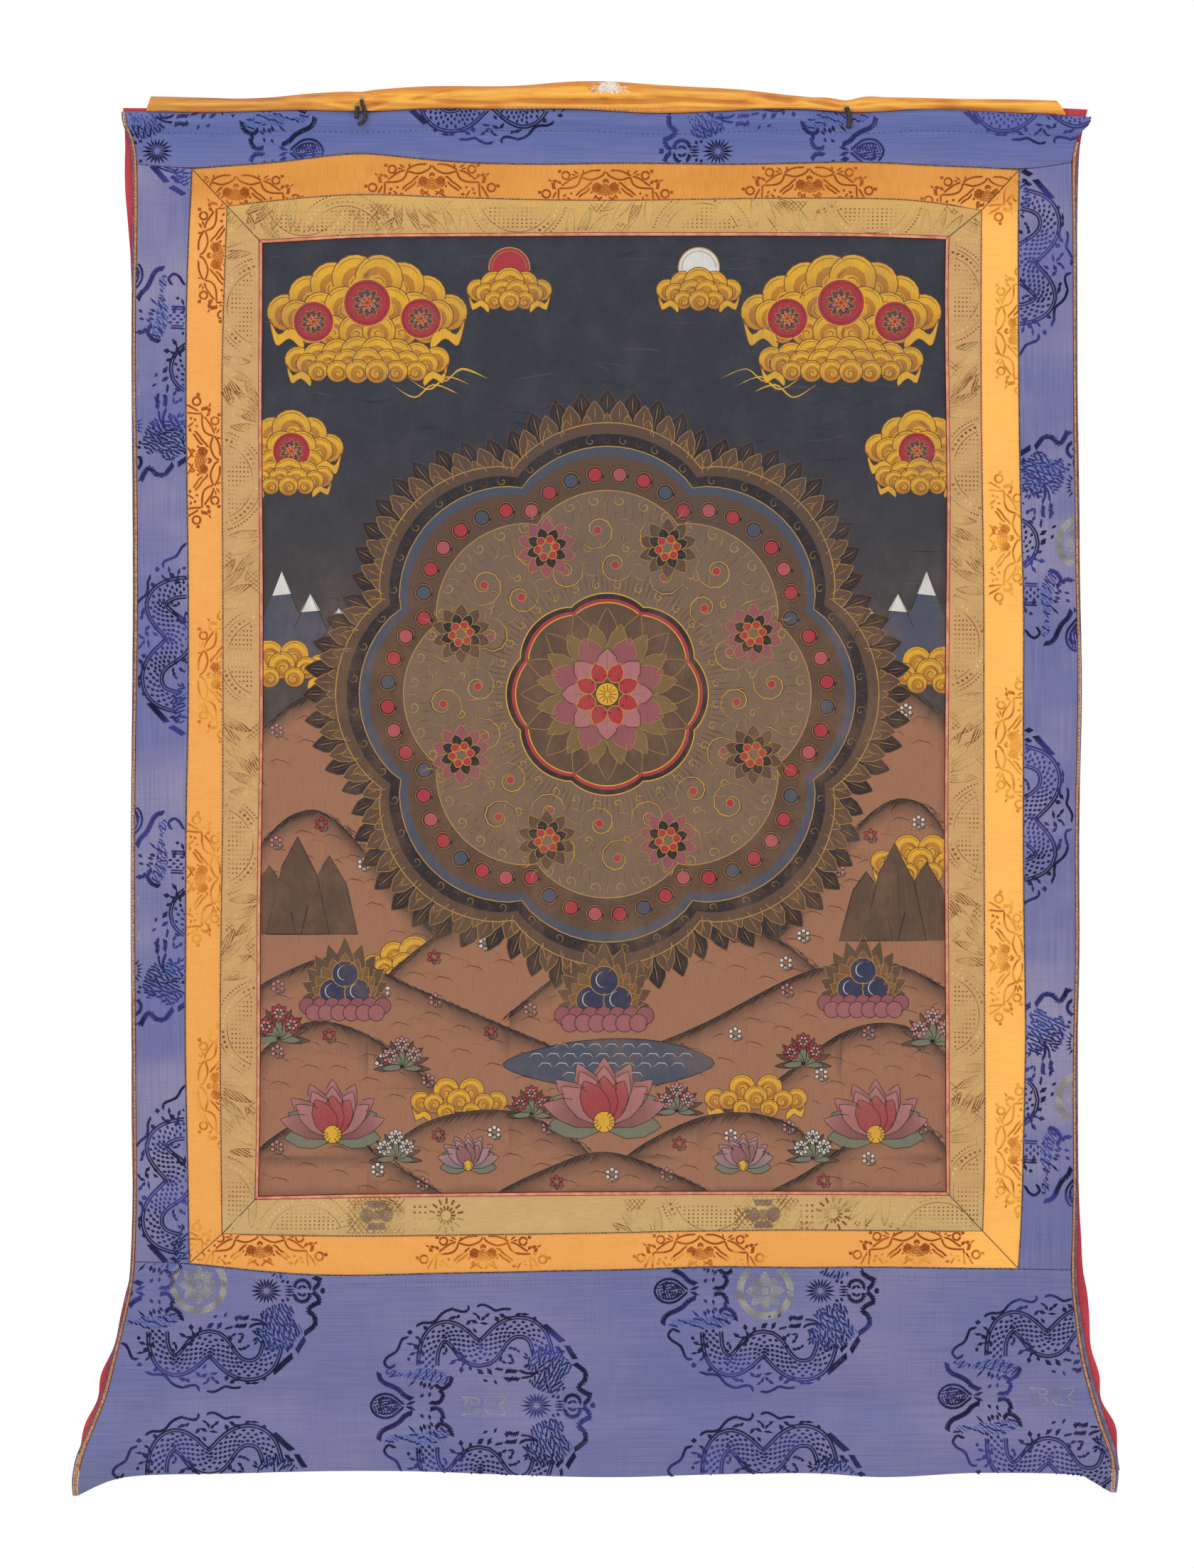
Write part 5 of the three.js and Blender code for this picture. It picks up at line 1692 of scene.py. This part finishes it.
MANE = [(22, 25), (26, 33), (32, 38), (40, 37.4), (48, 33), (54, 26), (51, 21), (47, 17), (49, 11), (42, 7.6)]
MANE += [(35, 9), (29, 12), (25.6, 16), (32, 20)]
FLAMES = [(-66, 23), (-58, 23), (-53, 20.4), (-44, 24), (-34, 24), (-26, 21), (-23, 17), (-28, 13.4), (-38, 16.4)]
FLAMES += [(-48, 17), (-54, 19), (-62, 18)]
SCROLLS = [
    [(-17, 0), (-13, 3), (-16, 5.6), (-11, 5), (-6, 4.4), (-5.6, 1.6), (-10, 1.2), (-10.6, 3)],
    [(7, 0), (9.6, 2.4), (11, 5.6), (6, 5.2), (0, 4.6), (-1.4, 1.6), (3, 1.2), (3.6, 3)],
]


def scaly(threads, path, tone):
    """A scaled body: rows of short thick floats between its two outlines."""
    rows = list(walk(path, 2.35))
    wide = lambda k: 4.3 + 2.0 * math.exp(-(((k / len(rows) - 0.46) / 0.16) ** 2))
    for k, (x, z, way) in enumerate(rows):
        half = wide(k)
        spaces = max(2, round(2 * half / 3.6))
        for i in range(spaces):
            off = (i - (spaces - 1) / 2 + (0.25 if k % 2 else -0.25)) * 2 * half / spaces
            a, b = x - off * math.sin(way), z + off * math.cos(way)
            dx, dz = 1.4 * math.cos(0.5 * way), 1.4 * math.sin(0.5 * way)
            threads.lay([(a - dx, b - dz), (a, b), (a + dx, b + dz)], 2.5, tone(a, b), rise=0.3, thin_ends=True)
    for side in (-1, 1):
        for out, thick in ((0.9, 0.95), (2.5, 1.25)):
            edge = [
                (x - side * (wide(k) + out) * math.sin(way), z + side * (wide(k) + out) * math.cos(way))
                for k, (x, z, way) in enumerate(rows)
            ]
            roped(threads, edge, 1.7, tone, 1.3, 20, thick)


def half_roundel(threads, put, tone, light):
    """One half of a dragon roundel, on one side of its axis."""
    scaly(threads, put(flow(BODY, step=2)), tone)
    for places, wide in ROPES:
        lean = 58 if wide > 2.3 else 32
        roped(threads, put(flow(places, step=1.5)), 1.1 * wide, tone, 1.25 if wide > 2.3 else 1.1, lean, 1.25)
    for x1, z1, x2, z2, wide in BLADES:
        blade = put([(x1, z1), (0.5 * (x1 + x2), 0.5 * (z1 + z2)), (x2, z2)])
        threads.lay(blade, 1.4 * wide, tone(*blade[1]), rise=0.35, thin_ends=True)
    for k in range(10):
        a = math.radians(20 * k)
        far = 7.5 + 2.4 * abs(math.cos(a))
        ray = put([(31 + r * math.cos(a), r * math.sin(a)) for r in (1.8, 0.5 * far + 0.9, far)])
        threads.lay(ray, 1.7, tone(*ray[0]), thin_ends=True)
    tangle = put(MANE)
    (ax, az), (bx, bz) = put([(0, 0), (1, 2)])
    slope = math.degrees(math.atan2(bz - az, bx - ax))
    hatched(threads, tangle, slope, tone, 2.1, 1.3, 5.2, 34)
    hatched(threads, [(x + 0.8, z - 0.6) for x, z in tangle], slope, light, 2.9, 1.1, 4.0, 30)
    (ax, az), (bx, bz) = put([(0, 0), (1, 0.8)])
    slope = math.degrees(math.atan2(bz - az, bx - ax))
    hatched(threads, put(FLAMES), slope, light, 1.9, 1.0, 3.4, 24)
    hatched(threads, put(FLAMES), slope + 20, tone, 4.4, 1.2, 5.0, 34)
    spade = put([(-73, 0), (-71, 4.6), (-66, 6), (-60, 4), (-56, 1.6), (-53.6, 0)])
    hatched(threads, spade, slope - 30, tone, 1.7, 1.05, 2.6, 20)


def roundel(threads, x, z, turn, dark, light, scrolls=True):
    """A dragon roundel; its two halves mirror each other in its axis."""
    for flip in (1, -1):
        put = lambda places: turned([(a, flip * b) for a, b in places], x, z, turn)
        half_roundel(threads, put, dark, light)
        for scroll in SCROLLS if scrolls else ():
            roped(threads, put(flow(scroll, step=1.2)), 1.3, silver_tone, 0.95, 40, 0.55)


def medal(threads, x, z, silver, size=19.0):
    """A round silver ornament: a ring of floats round a small flower."""
    ring = disc(x, z, size - 2.6, 60)
    roped(threads, [*ring, ring[0]], 5.0, silver, 1.0, 62, 0.9)
    for i in range(8):
        leaf = turned(petal(0.52 * size, 0.34 * size, 0.16 * size), x, z, 45 * i)
        hatched(threads, leaf, 45 * i + 45, silver, 0.95, 0.85)
    hatched(threads, disc(x, z, 0.15 * size, 10), 45, silver, 0.9, 0.85)


def blue_floats(cloth, node, turn, roundels, medals=()):
    """The floats of one blue panel: roundels at their middles, and silver ornaments."""
    # Painted sheen and painted shade: the skirt's dark floats lean most to the navy, the side panels' most to the
    # violet.
    dark = dye_and_sheen(NAVY, VIOLET, 60, 6, {"skirt": 0.14, "heading": 0.3}.get(node, 0.42))
    light = dye_and_sheen(VIOLET, SKY, 26, 8, 0.55)

    def draw(threads):
        for x, z in roundels:
            scrolls = node != "heading" and not any(math.dist((x, z), m[:2]) < 30 for m in medals)
            roundel(threads, x, z, turn, dark, light, scrolls)
        for x, z, size in medals:
            medal(threads, x, z, silver_tone, size)

    return weave(cloth, f"{node}_floats", "blue_brocade", draw)


silver_tone = dye_and_sheen(screen(140, 138, 132), DULL_SILVER, 20, 3, 0.6)
SKIRT_ROUNDELS = [(-245, -748), (-245, -889.5), (106, -748), (106, -889.5)]
SKIRT_ROUNDELS += [(-73.8, -665), (-73.8, -821), (286, -815)]
HEADING_ROUNDELS = [(-252, -26), (-77, 43), (103, -26), (273, 43)]
LEFT_ROUNDELS = [(-236, 2), (-300, -169), (-236, -340), (-300, -514), (-236, -683)]
RIGHT_ROUNDELS = [(232, -91.5), (300, -269), (232, -444), (300, -622)]
SKIRT_MEDALS = [(-257, -744, 19), (102, -748, 18.5)]
RIGHT_MEDALS = [(303, -274, 18), (303, -626, 18)]
mount_floats = {
    "skirt": blue_floats(skirt, "skirt", 0, SKIRT_ROUNDELS, SKIRT_MEDALS),
    "heading": blue_floats(heading, "heading", 180, HEADING_ROUNDELS),
    "left": blue_floats(side_panels["left"], "side_left", -90, LEFT_ROUNDELS),
    "right": blue_floats(side_panels["right"], "side_right", 90, RIGHT_ROUNDELS, RIGHT_MEDALS),
}

mount_face = Face([heading, skirt, *side_panels.values(), *orange_cloths.values()])
blue_thread = thread("blue_thread", 44, 46, 86)
heading_sides, skirt_sides = seams(heading), seams(skirt)
outer_seam = [seams(orange_cloths[side])[side] for side in SIDES]
blue_joins = [heading_sides["bottom"], skirt_sides["top"]]
casing = [[(x, z - 13.2) for x, z in heading_sides["top"]][2:-2]]
selvage = [[(x, z - drop) for x, z in skirt_sides["top"]][4:-4] for drop in (5.2, 8.0)]
mount_stitches = [
    sewn("mount_cord", outer_seam, mount_face, dark_thread, 0.9, 1.3, 0.6, uneven_lean=16),
    sewn("mount_whips", outer_seam, mount_face, brown_thread, 1.5, 1.5, 0.5, lean=72, lift=0.25),
    sewn("blue_joins", blue_joins, mount_face, blue_thread, 2.9, 1.7, 0.5, lift=0.12),
    sewn("casing_stitches", casing, mount_face, blue_thread, 3.4, 2.1, 0.5, lift=0.12),
    sewn("selvage_stitches", selvage, mount_face, blue_thread, 2.4, 0.9, 0.4, lean=30, lift=0.05),
]
for stitches in mount_stitches:
    hold(stitches, "blue_brocade")
hang(heading, (0.611, 0.039))
hang(skirt, (0.653, 0.147))
for side, panel in side_panels.items():
    hang(panel, (0.036, 0.699))

# Piping and binding
# A tan cord covered in cotton along both sides, and a narrow blue binding turned over outside it.
# They run from the heading down to the tips of the skirt and are whipped on with small stitches.
tan = Finish("tan_piping", Roughness=0.7)
twist = tan.place.noise(3, 3, 1.2, detail=3).span(0.3, 0.7)
tan.feed(Base_Color=twist.mix(screen(150, 96, 62), screen(206, 148, 100)))
tan.bump(twist, 0.25, 0.7)
binding_cloth = Finish("binding", Roughness=0.55)
rubbed_edge = binding_cloth.place.noise(4, 4, 6, detail=4).span(0.35, 0.7)
binding_cloth.feed(Base_Color=rubbed_edge.mix(screen(72, 74, 108), screen(116, 116, 150)))
binding_cloth.bump(rubbed_edge, 0.2, 0.6)
sides = []
for side in ("left", "right"):
    piping = dress(f"piping_{side}", PLAIN, "piping", tan)
    binding = dress(f"binding_{side}", PLAIN, "blue_brocade", binding_cloth)
    edge_face = Face([piping, binding])
    wraps = sewn(f"piping_wraps_{side}", [seams(piping)[side]], edge_face, brown_thread, 2.2, 1.2, 0.35, lean=50)
    sides += [piping, binding, hold(wraps, "piping")]

# Red lining
# One sheet of plain red cotton behind the whole front, caught in the seams along both sides.
# It shows beside the binding, above the heading's ends, and behind under the veil.
cotton = Finish("red_cotton", Roughness=0.85)
red_warp = cotton.place.noise(0.7, 12, 10)
red_weft = cotton.place.noise(10, 12, 0.7)
red_base = cotton.place.noise(70, 70, 70, detail=4).span(0.3, 0.7).mix(screen(176, 44, 56), screen(200, 62, 70))
red_base = (red_warp.span(0.4, 0.75) * 0.25).mix(red_base, screen(132, 28, 42))
red_base = (red_weft.span(0.4, 0.75) * 0.25).mix(red_base, screen(214, 84, 88))
cotton.feed(Base_Color=red_base)
cotton.bump(red_warp * 0.5 + red_weft * 0.5, 0.22, 0.8)
lining = dress("lining", PLAIN, "red_lining", cotton)
edge_points = points_of(lining.data)
lx, lz = edge_points[:, 0] / MM, edge_points[:, 2] / MM
puckered = 1.3 * np.sin(lz / 8 + 2 * np.sin(lz / 26)) * np.clip((-730 - lz) / 20, 0, 1)
eased = np.interp(lz, (-885, -850, -822, -797, -746, -712, -690), (0, -1.5, -2, -1.2, 1.8, 1.2, 0))
bulge = 3.0 * np.exp(-(((lz + 44) / 34) ** 2)) * np.clip((-4 - lz) / 8, 0, 1)
out_by = puckered + np.where(lx > 0, eased, bulge)
edge_points[:, 0] += MM * np.sign(lx) * np.clip((np.abs(lx) - 285) / 12, 0, 1) * out_by
move_points(lining.data, edge_points)
lining_back = Face([lining], behind=True)
lining_edges = seams(lining)
red_thread = thread("red_thread", 226, 120, 112)
inward = [
    [(x + 7, z) for x, z in lining_edges["left"]][6:-6],
    [(x - 7, z) for x, z in lining_edges["right"]][6:-6],
    [(x, z + 8) for x, z in lining_edges["bottom"]][6:-6],
]
lining_hem = hold(sewn("lining_hem_stitches", inward, lining_back, red_thread, 6.0, 2.2, 0.4, lift=0.1), "red_lining")
hang(lining, (0.663, 0.868))

# Veil
# A thin golden satin, sewn to the heading's top edge and thrown back over it, hanging behind.
# Its crest is crumpled where the thongs draw it in, and frayed white at its highest place.
CREST_FOLDS = [
    # x1, z1, x2, z2, wide, rise
    (-154, -2, -120, 9, 1.7, 1.3),
    (-154, 0, -186, 6, 1.6, 1.1),
    (-152, 2, -96, 12, 1.8, -1.1),
    (-156, 4, -214, 5, 1.6, -0.8),
    (-150, 6, -104, 4, 1.3, 0.9),
    (153, -2, 120, 6, 1.7, 1.3),
    (155, 0, 190, 5, 1.6, 1.1),
    (152, 2, 96, 9, 1.7, -1.2),
    (160, 4, 226, 5, 1.5, -0.8),
    (156, 6, 196, 1, 1.2, 0.9),
    (-70, 3, 36, 2, 1.4, 1.3),
    (-60, 6, 40, 5.5, 1.8, -1.2),
    (-40, 10, 30, 9, 1.6, 1.1),
    (-10, 15, 4, 4, 1.6, -0.9),
    (-110, 6, -60, 4, 1.5, -0.9),
    (-120, 9, -20, 14, 1.7, 0.9),
    (20, 13, 100, 8, 1.6, 1.0),
    (30, 8, 96, 4, 1.5, -1.0),
    (-280, 3, -180, 5, 1.5, 0.8),
    (-262, 7, -200, 8, 1.3, -0.7),
    (190, 4, 290, 3, 1.4, 0.8),
    (206, 1, 270, 0, 1.2, -0.7),
    (40, 3, 150, 1, 1.3, 0.9),
]


CREST_FOOT = -6  # the height where the crest starts
CREST_BACK = 2.5  # how far back its front layer lies

veil = smooth_cloth("veil", "veil_cloth", FINE)
veil_points = points_of(veil.data)
vx, vy, vz = (veil_points[:, i] / MM for i in range(3))
crest = vz > CREST_FOOT
crest_front = crest & (vy < CREST_BACK)
hanging = np.clip((-vz - 20) / 120, 0, 1)
crumples = ridges(vx, vz, CREST_FOLDS, 0.4)
move = -np.where(crest_front, relief(vx, np.maximum(vz, -4)) + crumples, relief(vx, np.minimum(vz, 0)))
ripple = 1.8 * hanging * (1 + 1.4 * uneven(vx, 0.2 * vz, 44, 90, 15))
veil_points[:, 1] += MM * (move + np.maximum(ripple, 0))
high_up = np.clip(vz / 12, 0, 1)
for x, deep, wide in ((-154, 0.7, 5), (153, 2.0, 6), (168, -0.9, 7), (140, -0.5, 5)):
    veil_points[:, 2] -= MM * deep * high_up * np.exp(-(((vx - x) / wide) ** 2))
move_points(veil.data, veil_points)
columns = np.round(vx / 6).astype(int)
height = np.zeros(len(vx))
for column in np.unique(columns):
    here = columns == column
    foremost = here & crest & (vy < 2)
    low = vz[foremost].min() if foremost.any() else 0
    height[here] = (vz[here] - low) / max(vz[here].max() - low, 1)
# The fold share is high on the crumples' ridges and low in their troughs; the satin paints light and shade from it.
for name, values in (("crest", height), ("fold", 0.5 + 0.3 * np.where(crest_front, crumples, 0))):
    shares = veil.data.attributes.new(name, "FLOAT", "POINT")
    shares.data.foreach_set("value", values.astype(np.float32))

satin = Finish("golden_satin", Roughness=0.4, Sheen_Weight=0.06, Specular_IOR_Level=0.3)
up = satin.attribute("crest", out="Fac")
wave = satin.place.noise(30, 20, 5, detail=3)
# Painted light on the crest: lighter along its middle height, a painted highlight, and darker towards its top, where it
# turns away, and towards its foot, painted shade.
crest_light_band = up + (wave - 0.5) * 0.7
satin_base = crest_light_band.span(0.55, 1.0).mix(screen(250, 178, 62), screen(206, 122, 34))
satin_base = (crest_light_band.span(0.42, 0.1) * 0.75).mix(satin_base, screen(216, 126, 44))
satin_base = (satin.place.noise(60, 60, 200, detail=3).span(0.35, 0.75) * 0.35).mix(satin_base, screen(214, 136, 46))
# The crest's left end is painted darker, a painted shade.
left_end_shade = satin.x.span(-0.15, -0.21) * satin.z.span(-0.02, -0.004)
satin_base = (left_end_shade * 0.55).mix(satin_base, screen(178, 112, 48))
# Rust-orange patches on the crest are painted shade in its folds.
rust_shade = satin.place.noise(26, 20, 3.4, detail=4).span(0.5, 0.68) * satin.z.span(-0.02, -0.004)
satin_base = (rust_shade * 0.5).mix(satin_base, screen(190, 100, 34))
streak = satin.place.noise(24, 20, 1.3, detail=3)
satin_base = (streak.span(0.45, 0.75) * 0.28).mix(satin_base, screen(255, 206, 112))
satin_base = (streak.span(0.45, 0.2) * 0.25).mix(satin_base, screen(176, 98, 26))
# Painted shade in the crumples' troughs and a painted highlight on their ridges.
fold_shading = satin.attribute("fold", out="Fac")
satin_base = (fold_shading.span(0.49, 0.28) * 0.6).mix(satin_base, screen(172, 90, 28))
satin_base = (fold_shading.span(0.54, 0.8) * 0.35).mix(satin_base, screen(255, 200, 96))
satin.feed(Base_Color=satin_base)
satin.bump(streak, 0.12, 0.6)
satin.on(veil)
hold(veil, "veil_satin", "veil")

veil_face = Face([veil])
heading_top = [(x, z + 0.9) for x, z in heading_sides["top"]]
pale_thread = thread("pale_thread", 236, 196, 124)
foot_line = [[(x, z) for x, z in heading_top if -286 < x < 288]]
middle_foot = [[(x, z + 0.5) for x, z in heading_top if -68 < x < 36]]
all_face = Face([veil, heading])
veil_back = Face([veil], behind=True)
low_edge = [[(x, -708) for x in range(-290, 291, 6)], [(x, -705) for x in range(-290, 291, 6)]]
side_edges = [[(s * 288, z) for z in range(-696, -20, 8)] for s in (-1, 1)]
veil_stitches = [
    sewn("veil_seam", foot_line, all_face, dark_thread, 1.6, 1.5, 0.45, lift=0.05),
    sewn("veil_whips", middle_foot, all_face, pale_thread, 2.9, 2.2, 0.6, lean=62, lift=0.4),
    sewn("veil_hem", low_edge + side_edges, veil_back, pale_thread, 4.0, 2.0, 0.35, lift=0.1),
]
for stitches in veil_stitches:
    hold(stitches, "veil_satin")

fray = Threads()
fray_dice = random.Random(5)
for _ in range(300):
    x = fray_dice.gauss(3, 4.2)
    z = 12 + fray_dice.uniform(0, 6.5) * math.exp(-(((x - 3) / 9) ** 2))
    reach = fray_dice.uniform(1.5, 4.5)
    way = fray_dice.uniform(0, TAU)
    turn = way + fray_dice.uniform(-1.4, 1.4)
    bend = (x + 0.5 * reach * math.cos(way), z + 0.5 * reach * math.sin(way))
    end = (bend[0] + 0.5 * reach * math.cos(turn), bend[1] + 0.5 * reach * math.sin(turn))
    fray.lay([(x, z), bend, end], 0.4, screen(244, 240, 232), fray_dice.uniform(0.15, 0.9), True)
frayed = fray.make("frayed_fibres", veil_face)
fibre = Finish("white_fibre", Roughness=0.8)
fibre.shader.inputs["Base Color"].default_value = (0.97, 0.95, 0.93, 1)
fibre.on(frayed)
hold(frayed, "veil_satin")

# Thongs
# Three short tails of dark leather, sewn low on the veil's crest where they once tied it up.
# Each is caught by a few turns of pale thread, and its free end hangs over the heading.
leather = Finish("dark_thong", Roughness=0.55)
grain = leather.place.noise(1.2, 1.2, 1.2, detail=4).span(0.35, 0.7)
leather.feed(Base_Color=grain.mix(screen(20, 15, 22), screen(52, 42, 50)))
leather.bump(grain, 0.3, 0.8)
thongs = []
for node, swell in (("thong_left_long", 0.2), ("thong_left_short", 0.35), ("thong_right", 0.6)):
    thong = smooth_cloth(node, node + "_leather", 1)
    for vertex in thong.data.vertices:
        vertex.co += swell * MM * vertex.normal
    leather.on(thong)
    thongs.append(hold(thong, "thong", node))
knots = Threads()
for x, z in ((-153.2, 6.6), (-156.6, 2.6), (153, 1.4)):
    for k in range(5):
        lean = 0.5 * math.sin(2.2 * k + x)
        knots.lay([(x - 1.5, z + 0.5 * k - lean), (x, z + 0.5 * k), (x + 1.5, z + 0.5 * k + lean)], 0.45, (1, 1, 1), 0.35)
knotted = knots.make("pale_knots", Face([*thongs, veil]))
pale_thread.on(knotted)
hold(knotted, "thong")

# Studio
# A pale floor under the hanging scroll, an even white room and two broad soft lamps.
# The camera looks straight at the middle of the photograph's frame from nearly three metres.
FRAME_HIGH = 2207
PIXEL = 0.45 * MM  # one pixel of the photograph, on the scroll
LENS = 100
SENSOR = 36
MIDDLE = Vector((-0.0045, 0, -0.4268))

floor_mesh = bpy.data.meshes.new("pale_floor")
floor_mesh.from_pydata([(-2.4, -3.4, -1.5), (2.4, -3.4, -1.5), (2.4, 1.6, -1.5), (-2.4, 1.6, -1.5)], [], [(0, 1, 2, 3)])
floor = new_piece("pale_floor", floor_mesh)
floor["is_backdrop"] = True
boards = Finish("pale_floor", Roughness=0.9)
boards.shader.inputs["Base Color"].default_value = (0.8, 0.79, 0.77, 1)
boards.on(floor)

room = bpy.data.worlds.new("white_room")
room.use_nodes = True
room.node_tree.nodes["Background"].inputs["Color"].default_value = (1, 1, 1, 1)
room.node_tree.nodes["Background"].inputs["Strength"].default_value = 1.0
bpy.context.scene.world = room

for name, place, size, power in (
    ("lamp_high_left", (-1.1, -1.5, 0.9), 1.2, 9),
    ("lamp_high_right", (1.3, -1.9, 0.6), 1.4, 5),
):
    lamp = bpy.data.objects.new(name, bpy.data.lights.new(name, "AREA"))
    lamp.data.size = size
    lamp.data.energy = power
    lamp.location = place
    aim = Vector((0, 0, -0.4)) - Vector(place)
    lamp.rotation_euler = aim.to_track_quat("-Z", "Y").to_euler()
    bpy.context.scene.collection.objects.link(lamp)

camera = bpy.data.objects.new("camera", bpy.data.cameras.new("camera"))
camera.data.lens = LENS
camera.data.sensor_width = SENSOR
camera.data.sensor_fit = "AUTO"
camera.location = MIDDLE - Vector((0, FRAME_HIGH * PIXEL * LENS / SENSOR, 0))
camera.rotation_euler = (math.pi / 2, 0, 0)
bpy.context.scene.collection.objects.link(camera)
bpy.context.scene.camera = camera
bpy.context.scene.view_settings.view_transform = "Standard"

dressed_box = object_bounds()
boxes = {"cad": cad_box, "dressed": dressed_box}
{name: [[float(v) for v in corner] for corner in box] for name, box in boxes.items()}
